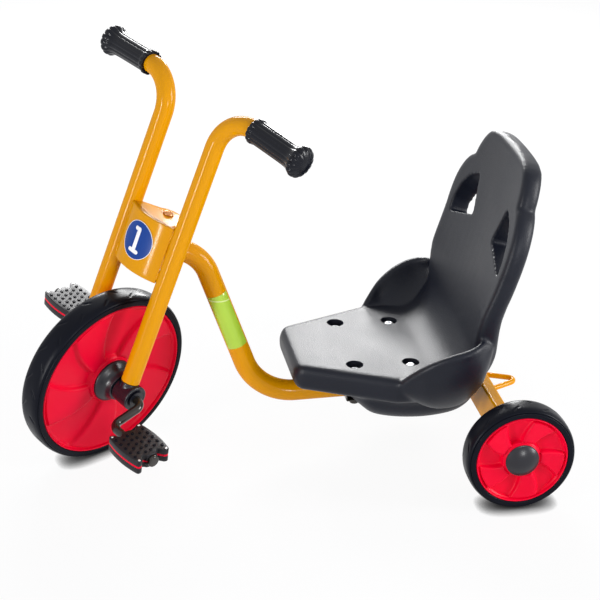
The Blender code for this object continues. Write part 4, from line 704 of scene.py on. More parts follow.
def build_number():
    """A blue disc with a thin pale rim, and a plain slab figure 1 made of three round-ended bars."""
    radius = 0.0306
    top = 0.0010
    ease = 0.0003
    share = np.linspace(0, radius, 16)[:-1]
    edge = eased([(top, share[-1]), (top, radius), (0, radius), (0, share[-1])], ease, 3, loop=False)
    face = np.stack([np.full(len(share), top), share], 1)
    disc = turned(np.concatenate([face, edge, [(0, 0)]]), 96)
    ring = eased([(0, 0.0304), (0.0012, 0.0304), (0.0012, 0.0313), (0, 0.0313)], ease, 3)
    rim = turned(ring, 96, loop=True)
    disc, rim = ((on_plate(points[:, [1, 2, 0]]), quads) for points, quads in (disc, rim))
    piece("number_roundel", put([disc], FORK), "blue", "fork", ["number_disc"])
    bars = (
        # start, end, half width, height
        ((0, -0.0180), (0, 0.0180), 0.0036, 0.0018),
        ((-0.0072, -0.0184), (0.0072, -0.0184), 0.0033, 0.0017),
        ((-0.0066, 0.0180), (0.0, 0.0180), 0.0033, 0.0016),
    )
    figure = []
    for start, end, half, height in bars:
        points, quads = round_bar(np.array(start), np.array(end), half, 0.0011, height)
        figure.append((on_plate(points), quads))
    piece("number_figure", put(figure + [rim], FORK), "white", "fork", ["number_one"])


def round_bar(start, end, half, low, high):
    """A flat bar with round ends: the points within half of a line, with a softly rounded top edge."""
    way = unit(end - start)
    side = np.array([-way[1], way[0]])
    angle = np.linspace(-math.pi / 2, math.pi / 2, 13)[:, None]
    straight = np.linspace(0, 1, 14)[1:-1, None]
    bulge = half * (np.cos(angle) * way + np.sin(angle) * side)
    there = end + (start - end) * straight
    back = start + (end - start) * straight
    outline = np.concatenate([end + bulge, there + half * side, start - bulge, back - half * side])
    spine = np.concatenate([end + 0 * bulge, there, start + 0 * bulge, back])
    levels = ((0.0, low), (1.0, low), (1.0, high - 0.0003), (0.95, high - 0.0001), (0.88, high), (0.0, high))
    rows = []
    for share, height in levels:
        flat = spine + share * (outline - spine)
        rows.append(np.concatenate([flat, np.full((len(flat), 1), height)], 1))
    return shell(np.stack(rows))


def build_pivot():
    """The steering bolt: a domed head with a cross recess, whose depth falls along two bars across it."""
    top = AXLE_ALONG + PLATE_HIGH + GAP
    shank_radius = 0.0050
    shank_end = top - 0.105
    skirt_radius = 0.0086
    sides = 96
    radius = np.linspace(0, 0.0084, 34)
    angle = np.linspace(0, 2 * math.pi, sides, endpoint=False)
    r, a = np.meshgrid(radius, angle, indexing="ij")
    x = r * np.cos(a)
    y = r * np.sin(a)
    dome = 0.0062 * (1 - (r / 0.0100) ** 2.6)
    bar = np.minimum(np.abs(x), np.abs(y))
    cut = 0.0026 * np.clip((0.0013 - bar) / 0.0006, 0, 1) * np.clip((0.0052 - r) / 0.0012, 0, 1)
    cap = np.stack([x, y, top + dome - cut], -1)
    reach = np.array([skirt_radius, skirt_radius, shank_radius, shank_radius, 0.0])
    height = np.array([top + 0.0012, top, top, shank_end, shank_end])
    below = np.concatenate([reach[:, None, None] * circle(1.0, sides)[None],
                            np.broadcast_to(height[:, None, None], (len(height), sides, 1))], 2)
    bolt = shell(np.concatenate([cap, below]))
    piece("steering_bolt", put([bolt], FORK), "copper", "fork", ["pivot_bolt"])


# Front wheel

def tread_marks(shells, radius, half, count):
    """Slanting cuts 1.5 mm deep in the tread: where count a / 2 pi - slant |u| is whole, u part way out."""
    slant = 0.55
    depth = 0.0015
    (points, quads), = shells
    along = points[:, 0] / half
    reach = np.hypot(points[:, 1], points[:, 2])
    angle = np.arctan2(points[:, 2], points[:, 1])
    phase = count * angle / (2 * math.pi) - slant * np.abs(along) + 0.25 * np.sign(along)
    width = (phase - np.round(phase)) * 2 * math.pi * radius / count
    window = np.clip(1.6 - np.abs(np.abs(along) - 0.42) / 0.16, 0, 1)
    cut = depth * np.exp(-((width / 0.0020) ** 2)) * window * (reach > radius - 0.008)
    scale = 1 - cut / reach
    return [(points * np.stack([np.ones_like(scale), scale, scale], 1), quads)]


def tyre_profile(radius, half, rim):
    """Tyre section, both halves alike: flat side, a raised line where the tread starts, a crowned tread."""
    wall = radius - rim
    side = [
        (half - 0.0012, rim + 0.0002), (half - 0.0003, rim + 0.0010), (half, rim + 0.0022),
        (half, rim + 0.36 * wall), (half, rim + 0.50 * wall), (half - 0.0005, rim + 0.56 * wall),
        (half - 0.0018, rim + 0.58 * wall), (half - 0.0025, rim + 0.60 * wall),
        (half - 0.0022, rim + 0.66 * wall), (0.83 * half, radius - 0.215 * wall),
        (0.70 * half, radius - 0.128 * wall), (0.50 * half, radius - 0.055 * wall),
        (0.25 * half, radius - 0.030 * wall), (0.0, radius - 0.026 * wall),
    ]
    side = through(np.array(side), 44)
    other = side[::-1][1:] * [-1, 1]
    floor = np.stack([np.linspace(-half + 0.0014, half - 0.0014, 8), np.full(8, rim + 0.0001)], 1)
    return np.concatenate([side, other, floor[1:-1]])


def pinwheel(r, a, blades, inner, outer, twist, height):
    """Height of a moulded wheel face, raised and sunk in sectors: h tanh(k cos(n (a + twist s^1.2)))."""
    span = outer - inner
    s = np.clip((r - inner) / span, 0, 1)
    phase = blades * (a + twist * s**1.2)
    steep = 3.0 + 8.0 * s
    step = np.tanh(steep * (np.cos(phase) + 0.06))
    step = np.where(step < 0, step * (1.7 - 1.1 * s), step * (0.55 + 0.45 * s))
    lean = 0.38 * np.sin(phase) * (0.4 + 0.6 * s)
    edge = np.clip(np.minimum((r - inner) / (0.05 * span), (outer - r) / (0.03 * span)), 0, 1)
    return height * (step + lean) * edge * edge * (3 - 2 * edge)


def moulded_rim(outer, half, web, boss, hub, bore, blades, twist, relief, well=None, sides=480):
    """A moulded wheel turned about X: lip, web and boss on both faces, with blades raised on the webs."""
    slope = half - web
    face = through([
        (half - 0.0010, outer), (half, outer - 0.0006), (half, outer - 0.0016),
        (half - 0.0010, outer - 0.0024), (web + 0.25 * slope, outer - 0.0034), (web, outer - 0.0046),
    ], 26)
    plain = np.stack([np.full(46, web), np.linspace(face[-1, 1] - 0.0008, boss + 0.5 * slope, 46)], 1)
    top = through([
        (web, boss + 0.42 * slope), (web + 0.35 * (hub - web), boss + 0.12 * slope), (hub - 0.0010, boss),
        (hub, boss - 0.0012),
    ], 12)

    def side(end):
        """One side of the section, from the lip down to the end radius on the hub's flat."""
        flat = np.stack([np.full(6, hub), np.linspace(boss - 0.0020, end, 6)], 1)
        return np.concatenate([face, plain, top, flat])

    front = side(bore)
    if well is not None:
        well_radius, well_floor = well
        front = np.concatenate([side(well_radius), [(well_floor, well_radius), (well_floor, bore)]])
    profile = np.concatenate([front, side(bore)[::-1] * [-1, 1]])
    angle = np.linspace(0, 2 * math.pi, sides, endpoint=False)
    along = np.broadcast_to(profile[:, :1], (len(profile), sides)).copy()
    radius = np.broadcast_to(profile[:, 1:], along.shape)
    a = np.broadcast_to(angle[None], along.shape)
    raised = pinwheel(radius, a, blades, boss + 0.4 * slope, outer - 0.0050, twist, relief)
    on_web = np.abs(along) <= web + 1e-6
    along += np.where(on_web & (radius > boss + 0.3 * slope), np.sign(along) * raised, 0.0)
    grid = np.stack([along, radius * np.cos(a), radius * np.sin(a)], -1)
    return shell(grid, wrap_rows=True)


def build_tyre(name, radius, half, rim, marks, sides, place, body, stands_for):
    """A solid tyre: its section turned, with a number of tread marks each way round."""
    tyre = tread_marks([turned(tyre_profile(radius, half, rim), sides, loop=True)], radius, half, marks)
    piece(name, put(tyre, place), "tyre", body, [stands_for], crease=60)


def build_front_wheel():
    """Tyre, moulded wheel, the bell-shaped hub piece on each side, and the crank through them."""
    build_tyre("front_solid_tyre", radius=0.150, half=0.0225, rim=0.1350, marks=19, sides=720,
               place=FRONT_AXLE, body="front_wheel", stands_for="front_tyre")
    rim = moulded_rim(outer=0.1346, half=0.0223, web=0.0168, boss=0.0372, hub=HUB_FACE - 0.0002, bore=0.0074,
                      blades=5, twist=0.30, relief=0.0038)
    piece("front_wheel_disc", put([rim], FRONT_AXLE), "red", "front_wheel", ["front_rim"], crease=50)
    foot = HUB_FACE + GAP
    end = 0.0462
    bore = 0.0075
    curve = through([
        (foot, 0.0365), (0.0225, 0.0370), (0.0244, 0.0370), (0.0262, 0.0362), (0.0285, 0.0340),
        (0.0307, 0.0310), (0.0327, 0.0284), (0.0352, 0.0263), (0.0380, 0.0250), (0.0420, 0.0240),
        (0.0448, 0.0235), (0.0458, 0.0233), (end, 0.0226),
    ], 60)
    profile = np.concatenate([[(foot, bore)], curve, [(end, bore)]])
    for name, side in SIDES:
        bell = put([turned(profile * [side, 1], 96, loop=True)], FRONT_AXLE)
        piece(f"hub_bell_{name}", bell, "nylon", "front_wheel", [f"hub_flange_{name}"])
    build_crank()


def build_crank():
    """The one-piece crank: a 14 mm rod with four bends, all in the plane of its arms."""
    rod_radius = 0.0070
    bend = 0.014
    reach = PEDAL_X + PEDAL_BOSS + 0.0035
    corners = [CRANK_ARM + [reach, 0, 0], CRANK_ARM + [CRANK_PLANE, 0, 0], [CRANK_PLANE, 0, 0],
               [-CRANK_PLANE, 0, 0], -CRANK_ARM - [CRANK_PLANE, 0, 0], -CRANK_ARM - [reach, 0, 0]]
    path = bent_path(corners, [bend] * 4, 0.0012)
    rod = carried(path, circle(rod_radius, 40), unit(np.cross([1, 0, 0], CRANK_ARM)))
    piece("crank_rod", put([rod], FRONT_AXLE), "crank", "front_wheel", ["crank"])
    start = PEDAL_X + PEDAL_BOSS + 0.0006
    end = start + 0.0052
    cap_radius = 0.0098
    profile = eased([(start, 0.0), (start, cap_radius), (end, cap_radius), (end, 0.0)],
                    [0, 0.0006, 0.0024, 0], 6, loop=False)
    for name, side in SIDES:
        cap = put([turned(profile * [side, 1], 48)], inside(FRONT_AXLE, side * CRANK_ARM))
        piece(f"spindle_cap_{name}", cap, "crank", "front_wheel", [f"pedal_retainer_{name}"])


def build_hub_housing(name, side):
    """The housing on a fork foot: a barrel along the axle and a collar up the tube, melted together."""
    inner = 0.0470
    outer = 0.0829
    dish = outer - 0.0012
    corners = [(inner, 0.0), (inner, 0.0206), (outer, 0.0210), (outer, 0.0168), (dish, 0.0150), (dish, 0.0)]
    profile = eased(corners, [0, 0.0012, 0.0022, 0.0008, 0.0006, 0], 5, loop=False)
    barrel = put([turned(profile * [side, 1], 96)], FRONT_AXLE)
    top = 0.0208
    collar = eased([(0, 0), (0, 0.0156), (top, 0.0152), (top, 0)], [0, 0.0010, 0.0010, 0], 4, loop=False)
    neck = upright([turned(collar, 80)], inside(FORK, (side * FORK_SPREAD, -FORK_LEAD, AXLE_ALONG)))
    piece(f"hub_housing_{name}", barrel + neck, "nylon", "fork", [f"hub_bearing_{name}"],
          crease=55, modifiers=melted(0.00075, 9))


# Pedals

def pedal_outline():
    """Plan of a pedal: bowed long sides, and W-shaped ends with a round boss between two points."""
    x = np.linspace(0, 0.0352, 7)
    bow = np.stack([x, 0.0298 + 0.0050 * (1 - (x / 0.0382) ** 2)], 1)
    ends = np.array([(0.0374, 0.0290), (0.0380, 0.0262), (0.0368, 0.0222), (0.0272, 0.0146), (0.0292, 0.0112),
                     (0.0322, 0.0090), (0.0333, 0.0045), (PEDAL_BOSS, 0.0)])
    quarter = np.concatenate([bow, ends])
    right = np.concatenate([quarter, quarter[:-1][::-1] * [1, -1]])
    return eased(np.concatenate([right, -right[1:-1]])[::-1], 0.0011, 3)


def stud_places():
    """Where the studs stand on a pedal's face: six rows, of five and of four."""
    for row, ends, count in ((0.0262, 0.0240, 5), (0.0155, 0.0180, 4), (0.0050, 0.0230, 5)):
        for y in (-row, row):
            for x in np.linspace(-ends, ends, count):
                yield x, y


def build_pedal(name):
    """Two black halves over a thin red layer, studs in rows, and a pale screw at each corner."""
    place = PEDALS[name]
    body = f"pedal_{name}"
    outline = pedal_outline()
    block = slab(outline, 0.0019, PEDAL_FACE, 0.0009, centre=(0, 0))
    boss_end = PEDAL_BOSS - 0.0002
    boss_profile = eased([(-boss_end, 0.0), (-boss_end, 0.0120), (boss_end, 0.0120), (boss_end, 0.0)],
                         [0, 0.0018, 0.0018, 0], 5, loop=False)
    points, quads = turned(boss_profile, 72)
    height = np.clip(points[:, 2] * 1.04, 0.0025, PEDAL_FACE - 0.0002)
    boss = (np.stack([points[:, 0], points[:, 1], height], 1), quads)
    studs = [stud(x, y) for x, y in stud_places()]
    for half, sign in (("upper", 1), ("lower", -1)):
        flip = [1, sign, sign]
        halves = [(points * flip, quads) for points, quads in (block, boss)]
        raised = [(points * flip, quads) for points, quads in studs]
        piece(f"pedal_{half}_half_{name}", put(halves, place), "tread", body,
              [f"pedal_{half}_{name}"], crease=45)
        piece(f"pedal_{half}_studs_{name}", put(raised, place), "tyre", body)
    layer = slab(outline * 0.993, -0.0016, 0.0016, 0.0003, centre=(0, 0))
    piece(f"pedal_middle_{name}", put([layer], place), "red", body, [f"pedal_core_{name}"])
    profile = eased([(0.010, 0.0), (0.010, 0.0021), (0.0126, 0.0021), (0.0126, 0.0)],
                    [0, 0, 0.0009, 0], 4, loop=False)
    screws = []
    for x in (-0.0338, 0.0338):
        for y in (-0.0262, 0.0262):
            screws += upright([turned(profile, 24)], at(x, y))
    piece(f"pedal_screws_{name}", put(screws, place), "zinc", body)


def stud(x, y):
    """A round stud 5.6 mm across and 1.3 mm high with a soft top edge."""
    profile = [(0.0115, 0.0), (0.0115, 0.0028), (0.0127, 0.0027), (0.0132, 0.0022), (0.0132, 0.0)]
    return upright([turned(profile, 20)], at(x, y))[0]


# Rear wheels

def build_rear_wheel(name):
    """Tyre, moulded wheel and cap: the dome stands 9 mm (1 - s^2.3) high, with s the share of its radius."""
    place = REAR_HUBS[name]
    body = f"rear_wheel_{name}"
    build_tyre(f"rear_solid_tyre_{name}", radius=0.0877, half=0.0220, rim=0.0734, marks=11, sides=480,
               place=place, body=body, stands_for=f"rear_tyre_{name}")
    rim = moulded_rim(outer=0.0730, half=0.0218, web=0.0168, boss=0.0276, hub=0.0203, bore=0.0099,
                      blades=5, twist=0.24, relief=0.0044, well=(0.0215, 0.0090), sides=400)
    piece(f"rear_wheel_disc_{name}", put([rim], place), "red", body, [f"rear_rim_{name}"], crease=50)
    share = np.linspace(1, 0, 26)
    dome_foot = 0.0222
    dome_radius = 0.0262
    dome = np.stack([dome_foot + 0.0090 * (1 - share**2.3), dome_radius * share], 1)
    seat = 0.0207
    flange = 0.0267
    corners = [(0.0150, 0.0210), (seat, 0.0211), (seat, flange), (dome_foot, flange),
               (dome_foot, dome_radius)]
    edge = eased(corners, [0, 0, 0.0006, 0.0006, 0], 4, loop=False)
    profile = np.concatenate([[(0.0290, 0.0), (0.0240, 0.0185), (0.0150, 0.0185)], edge, dome[1:]])
    cap = turned(profile, 96)
    piece(f"wheel_cap_{name}", put([cap], place), "nylon", body, [f"hub_cap_{name}"])


# Seat: the same outline as the part's, in fine steps, melted together as one moulding

# y is from the rear axle, z from the floor
SEAT_FRONT = -0.3170
SEAT_BEND = -0.1060
SEAT_TOP = 0.4985
PAN_WIDE_Y = -0.161
PAN_FRONT_HALF = 0.0770
PAN_REAR_HALF = 0.1470
SHOULDER_HALF = 0.1720
HOLE_X = 0.07875
HOLE_HALF_PITCH = 0.0465
SEAT_TILT = math.radians(2.08)
SEAT_TURN = math.pi / 2 - math.radians(16.07) + SEAT_TILT
SEAT_BEND_RADIUS = 0.070
SEAT_HOLE = (-0.1732, 0.1620)
SEAT_FLAT = (SEAT_BEND - SEAT_FRONT) / math.cos(SEAT_TILT)


def seat_line(station):
    """Seating face in side view: a straight pan, an arc, a straight back; gives its place, way and out."""
    station = np.atleast_1d(np.asarray(station, float))
    along = np.array([math.cos(SEAT_TILT), -math.sin(SEAT_TILT)])
    up = np.array([math.sin(SEAT_TILT), math.cos(SEAT_TILT)])
    front_height = SEAT_HOLE[1] + math.tan(SEAT_TILT) * (SEAT_HOLE[0] - SEAT_FRONT)
    front = np.array([REAR_AXLE_Y + SEAT_FRONT, front_height])
    angle = np.clip((station - SEAT_FLAT) / SEAT_BEND_RADIUS, 0, SEAT_TURN)[:, None]
    way = along * np.cos(angle) + up * np.sin(angle)
    out = up * np.cos(angle) - along * np.sin(angle)
    centre = front + along * SEAT_FLAT + up * SEAT_BEND_RADIUS
    beyond = np.maximum(0.0, station - SEAT_FLAT - SEAT_BEND_RADIUS * SEAT_TURN)[:, None]
    on_pan = front + along * station[:, None]
    past_pan = centre - out * SEAT_BEND_RADIUS + way * beyond
    place = np.where((station <= SEAT_FLAT)[:, None], on_pan, past_pan)
    return place, way, out


def seat_station_at(height):
    """Station on the straight back where the seating face reaches a height."""
    start = SEAT_FLAT + SEAT_BEND_RADIUS * SEAT_TURN
    place, way, _ = seat_line(start)
    return start + (height - place[0, 1]) / way[0, 1]


def pan_half_width(y):
    """Half width of the pan: it grows evenly from the front edge to where the bolsters start."""
    share = np.clip((y - SEAT_FRONT) / (PAN_WIDE_Y - SEAT_FRONT), 0, 1)
    return PAN_FRONT_HALF + (PAN_REAR_HALF - PAN_FRONT_HALF) * share


def seat_half_width(y, z):
    """Half width: the pan's, then a sine out to the shoulders, a round shoulder and a blunt crown."""
    waist_end = 0.34
    crown_start = 0.435
    crown_half = 0.1290
    pan = pan_half_width(y)
    rise = np.clip((z - 0.158) / 0.182, 0, 1)
    waist = PAN_REAR_HALF + (SHOULDER_HALF - PAN_REAR_HALF) * np.sin(rise * math.pi / 2)
    share = np.clip((z - 0.355) / 0.080, 0, 1)
    shoulder = crown_half + (0.1730 - crown_half) * np.clip(1 - share**2.2, 0, 1) ** 0.68
    crown = np.interp(z, (crown_start, 0.445, 0.456, 0.468, 0.477, 0.485, 0.490, 0.494, 0.4965, SEAT_TOP),
                      (crown_half, 0.1275, 0.1235, 0.1170, 0.1100, 0.1010, 0.0900, 0.0740, 0.0500, 0.0))
    width = np.where(z < crown_start, shoulder, crown)
    width = np.where(z < waist_end, waist, width)
    return np.where((y < SEAT_BEND) & (z < 0.33), pan, width)


def seat_sheet():
    """The bent sheet: a rounded rectangle whose width and thickness change along the seating face."""
    end_run = 0.014
    pan_depth = 0.042
    bend_depth = 0.044
    back_depth = 0.033
    last = float(seat_station_at(SEAT_TOP))
    end_steps = np.linspace(0, 1, 26) ** 2
    main_steps = np.linspace(0.020, last - 0.030, 170)
    station = np.concatenate([0.016 * end_steps, main_steps, last - 0.026 * end_steps[::-1]])
    place, _, out = seat_line(station)
    y = place[:, 0] - REAR_AXLE_Y
    z = place[:, 1]
    half = seat_half_width(y, z)
    half = half - 0.012 * (1 - rounded(station / end_run))
    share = np.clip((y - SEAT_FRONT) / (SEAT_BEND - SEAT_FRONT), 0, 1)
    up_back = np.clip((z - 0.16) / 0.13, 0, 1)
    full = np.where(z > 0.16, bend_depth - (bend_depth - back_depth) * up_back,
                    pan_depth + (bend_depth - pan_depth) * share)
    thick = full * (0.30 + 0.70 * rounded(np.minimum(station, last - station) / end_run))
    radius = np.minimum(np.minimum(0.0130, thick * 0.48), half * 0.45 + 1e-5)
    hug = 0.0125 * np.clip((z - 0.165) / 0.1, 0, 1) + 0.0060 * np.exp(-(((z - 0.25) / 0.05) ** 2))
    quarter = np.linspace(0, math.pi / 2, 7)
    flats = np.linspace(-1, 1, 15)[1:-1]
    still = np.zeros(13)
    level = np.ones(13)
    one = np.ones(7)
    sin = np.sin(quarter)
    cos = np.cos(quarter)
    # Four rounded corners with a flat after the second and the fourth: signs of the corner, then its arc
    a = np.concatenate([one, one, -flats, -one, -one, flats])
    b = np.concatenate([one, -one, -level, -one, one, level])
    c = np.concatenate([sin, cos, still, -sin, -cos, still])
    d = np.concatenate([cos, -sin, -level, -cos, sin, level])
    across = a[None] * (half - radius)[:, None] + c[None] * radius[:, None]
    raised = -full[:, None] / 2 + b[None] * (thick / 2 - radius)[:, None] + d[None] * radius[:, None]
    raised = raised + hug[:, None] * (across / SHOULDER_HALF) ** 2
    grid = np.empty(across.shape + (3,))
    grid[..., 0] = across
    grid[..., 1:] = place[:, None] + out[:, None] * raised[..., None]
    return closed(grid)


# Lines along a bolster from front to rear, each point x, y and z: its rim, its inner crease, its lower edge
RIM_CURVE = [
    (0.1440, -0.1640, 0.1520), (0.1560, -0.1470, 0.1740), (0.1700, -0.1270, 0.1940),
    (0.1800, -0.1030, 0.2100), (0.1860, -0.0800, 0.2200), (0.1870, -0.0620, 0.2250),
    (0.1800, -0.0450, 0.2290), (0.1640, -0.0300, 0.2320),
]
CREASE_CURVE = [
    (0.1400, -0.1600, 0.1500), (0.1240, -0.1400, 0.1560), (0.1160, -0.1150, 0.1550),
    (0.1160, -0.0850, 0.1580), (0.1220, -0.0600, 0.1680), (0.1320, -0.0420, 0.1840),
    (0.1430, -0.0290, 0.2040), (0.1540, -0.0190, 0.2260),
]
LOWER_CURVE = [
    (0.1400, -0.1630, 0.1400), (0.1460, -0.1350, 0.1230), (0.1490, -0.1100, 0.1110),
    (0.1500, -0.0880, 0.1080), (0.1510, -0.0640, 0.1120), (0.1530, -0.0430, 0.1280),
    (0.1560, -0.0260, 0.1560), (0.1580, -0.0120, 0.2150),
]


def seat_bolster(side):
    """A side bolster: at each step a scooped inner face, a round rim and a swollen outer face."""
    count = 60
    rim, crease, lower = (through(curve, count)[:, None] for curve in (RIM_CURVE, CREASE_CURVE, LOWER_CURVE))
    outwards = np.array([1.0, 0.0, 0.0])
    rise = rim - 0.5 * (crease + lower)
    height = np.linalg.norm(rise, axis=-1, keepdims=True)
    rise = rise / height
    across = unit(outwards - rise * (rise @ outwards)[..., None])
    roll = np.minimum(0.0075, 0.28 * height)
    bow = np.minimum(0.0120, 0.18 * height)
    inner_top = rim - rise * roll - across * roll
    outer_top = rim - rise * roll + across * roll
    share = np.linspace(0, 1, 16)[None, :-1, None]
    sag = bow * 4 * share * (1 - share)
    inner = crease + (inner_top - crease) * share + across * sag - rise * sag * 0.5
    angle = np.linspace(math.pi, 0, 13)[None, :, None]
    top = rim - rise * roll + across * roll * np.cos(angle) + rise * roll * np.sin(angle)
    share = np.linspace(0, 1, 16)[None, 1:, None]
    outer = outer_top + (lower - outer_top) * share + across * bow * 4 * share * (1 - share)
    shut = 0.5 * (lower + crease) - outwards * np.minimum(0.030, 0.5 * height)
    grid = np.concatenate([inner, top, outer, shut], 1)
    return closed(grid * [side, 1, 1] + [0, REAR_AXLE_Y, 0])


# Steps along the tub: y, half width of the flat underside, its height, and where the sides end
TUB = [(-0.2450, 0.074, 0.1250, 0.1400), (-0.2300, 0.078, 0.1110, 0.1400), (-0.2120, 0.082, 0.0950, 0.1400),
       (-0.1930, 0.084, 0.0800, 0.1400), (-0.1600, 0.085, 0.0710, 0.1400), (-0.1200, 0.086, 0.0670, 0.1400),
       (-0.0850, 0.086, 0.0680, 0.1400), (-0.0560, 0.085, 0.0730, 0.1480), (-0.0360, 0.084, 0.0850, 0.1620),
       (-0.0220, 0.082, 0.1050, 0.1820)]


def seat_tub():
    """The tub under the seat: at each step a flat underside, two round corners and sides that lean out."""
    y, lower, low, high = (column[:, None] for column in through(TUB, 60).T)
    upper = pan_half_width(y) - 0.0080
    radius = np.minimum(0.0330, 0.7 * (high - low))
    angle = np.linspace(0, -math.pi / 2, 12)[None]
    arc_x = lower + radius * np.cos(angle)
    arc_z = low + radius + radius * np.sin(angle)
    bottom = lower * np.linspace(0.9, -0.9, 12)[None]
    x = np.concatenate([upper, arc_x, bottom, -arc_x[:, ::-1], -upper], 1)
    z = np.concatenate([high, arc_z, low + 0 * bottom, arc_z[:, ::-1], high], 1)
    grid = np.stack([x, np.broadcast_to(REAR_AXLE_Y + y, x.shape), z], -1)
    return closed(grid)


def slot_tool(side):
    """A bar with a slot's outline, square to the backrest: z = base + k (z - base), k from 1 down to 0.5."""
    corners = [(0.0570, 0.3546), (0.1430, 0.3270), (0.1450, 0.3500), (0.1330, 0.3800), (0.1120, 0.4030),
               (0.0810, 0.4180)]
    foot_slope = 0.321
    outline = eased(corners, 0.0080, 6)
    place, way, out = (values[0] for values in seat_line(seat_station_at(0.37)))
    base = corners[0][1] - foot_slope * (outline[:, :1] - corners[0][0])
    rows = []
    for raised, keep in ((0.06, 1.0), (0.0, 1.0), (-0.04, 0.50), (-0.09, 0.50)):
        height = base + keep * (outline[:, 1:] - base)
        yz = place + way * ((height - place[1]) / way[1]) + out * raised
        rows.append(np.concatenate([side * outline[:, :1], yz], 1))
    return closed(np.stack(rows))


def box_tool(low, high):
    """A plain block, as a grid of one ring of corners at two heights."""
    low = np.asarray(low)
    high = np.asarray(high)
    ring = low[:2] + np.array([(0, 0), (1, 0), (1, 1), (0, 1)]) * (high - low)[:2]
    return closed(np.stack([np.concatenate([ring, np.full((4, 1), z)], 1) for z in (low[2], high[2])]))


def seat_bolts():
    """Places of the four seat bolts: name, x, y and height of the pan."""
    for end, along in (("front", -1), ("rear", 1)):
        y = SEAT_HOLE[0] + along * HOLE_HALF_PITCH
        z = SEAT_HOLE[1] - math.tan(SEAT_TILT) * along * HOLE_HALF_PITCH
        for name, side in SIDES:
            yield f"{end}_{name}", side * HOLE_X, REAR_AXLE_Y + y, z


def cut(thing, shells):
    """Takes closed shells out of a mesh object."""
    tool = loose("tool", shells)
    settled(thing, [("BOOLEAN", {"operation": "DIFFERENCE", "object": tool, "solver": "EXACT"})])
    bpy.data.objects.remove(tool)


def build_seat():
    """One moulding: sheet, bolsters and tub melted at 2.5 mm, slots cut and softened, then crisp recesses."""
    seat = loose("seat_shell", [seat_sheet(), seat_bolster(1), seat_bolster(-1), seat_tub()])
    settled(seat, melted(0.0025, 4))
    cut(seat, [slot_tool(1), slot_tool(-1)])
    settled(seat, melted(0.0025, 5))
    floor = SEAT_HOLE[1] - math.tan(SEAT_TILT) * HOLE_HALF_PITCH - 0.0100
    mouth = 0.0172
    recess = 0.0140
    tools = []
    for _, x, y, z in seat_bolts():
        above = z + 0.02
        corners = [(floor, 0.0), (floor, recess), (z + 0.0006, recess), (z + 0.0035, mouth), (above, mouth),
                   (above, 0.0)]
        profile = eased(corners, [0, 0.0020, 0.0016, 0.0010, 0, 0], 4, loop=False)
        tools += upright([turned(profile, 64)], at(x, y))
    cut(seat, tools)
    below = 0.03
    channel = DOWN_TUBE_RADIUS + 0.0025
    channel_top = DOWN_TUBE_LOW + DOWN_TUBE_RADIUS + GAP + 0.001
    cut(seat, [box_tool((-channel, REAR_AXLE_Y - 0.30, below), (channel, REAR_AXLE_Y + 0.02, channel_top))])
    rail_top = SEAT_HOLE[1] - 0.034 - 0.004 + GAP
    half_rail = 0.0155
    rail_end = 0.0889
    rails = []
    for along in (-1, 1):
        middle = REAR_AXLE_Y + SEAT_HOLE[0] + along * HOLE_HALF_PITCH
        low = (-rail_end, middle - half_rail, below)
        high = (rail_end, middle + half_rail, rail_top)
        rails.append(box_tool(low, high))
    cut(seat, rails)
    piece("seat_shell", seat, "seat", "frame", ["seat"], crease=50)
    for name, x, y, _ in seat_bolts():
        build_seat_bolt(name, x, y, floor)


def build_seat_bolt(name, x, y, floor):
    """A flanged button head with a hexagon socket: a ring whose radius follows six flats."""
    sides = 72
    base = floor + GAP
    angle = np.linspace(0, 2 * math.pi, sides, endpoint=False)
    flat = np.cos(math.pi / 6) / np.cos((angle % (math.pi / 3)) - math.pi / 6)
    head = np.array([
        # radius and height, from the shank's end up to the socket's edge
        (0.0, -0.030), (0.0042, -0.030), (0.0042, 0.0), (0.0102, 0.0), (0.0107, 0.0003), (0.0107, 0.0012),
        (0.0102, 0.0015), (0.0090, 0.0015), (0.0085, 0.0024), (0.0078, 0.0042), (0.0062, 0.0056),
        (0.0044, 0.0060),
    ])
    socket = np.array([(0.0030, 0.0060), (0.0028, 0.0056), (0.0024, 0.0032), (0.0, 0.0030)])
    r = np.concatenate([head[:, :1] * np.ones(sides), socket[:, :1] * flat[None]])
    h = np.concatenate([head, socket])[:, 1:] * np.ones(sides)
    grid = np.stack([x + r * np.cos(angle), y + r * np.sin(angle), base + h], -1)
    piece(f"seat_screw_{name}", [shell(grid)], "zinc", "frame", [f"seat_bolt_{name}"])


# Studio

def build_camera():
    """Camera fitted to the photograph: azimuth 79.33, elevation 25.01, roll 0.39 degrees."""
    az, el, roll = (math.radians(value) for value in (79.33, 25.01, 0.39))
    back = np.array([math.sin(az) * math.cos(el), -math.cos(az) * math.cos(el), math.sin(el)])
    level = unit(np.cross([0, 0, 1], back))
    up = np.cross(back, level)
    right = math.cos(roll) * level + math.sin(roll) * up
    top = -math.sin(roll) * level + math.cos(roll) * up
    data = bpy.data.cameras.new("camera")
    data.lens = 109.6
    data.sensor_width = 36.0
    data.sensor_fit = "HORIZONTAL"
    data.clip_start = 0.05
    data.clip_end = 60
    camera = bpy.data.objects.new("camera", data)
    camera.matrix_world = matrix_of(right, top, back, (2.6440, -0.4591, 1.5034))
    bpy.context.scene.collection.objects.link(camera)
    bpy.context.scene.camera = camera


def matrix_of(x_axis, y_axis, z_axis, place):
    """A placing matrix from three axes and a place."""
    matrix = np.eye(4)
    matrix[:3] = np.stack([x_axis, y_axis, z_axis, place], 1)
    return Matrix(matrix.tolist())


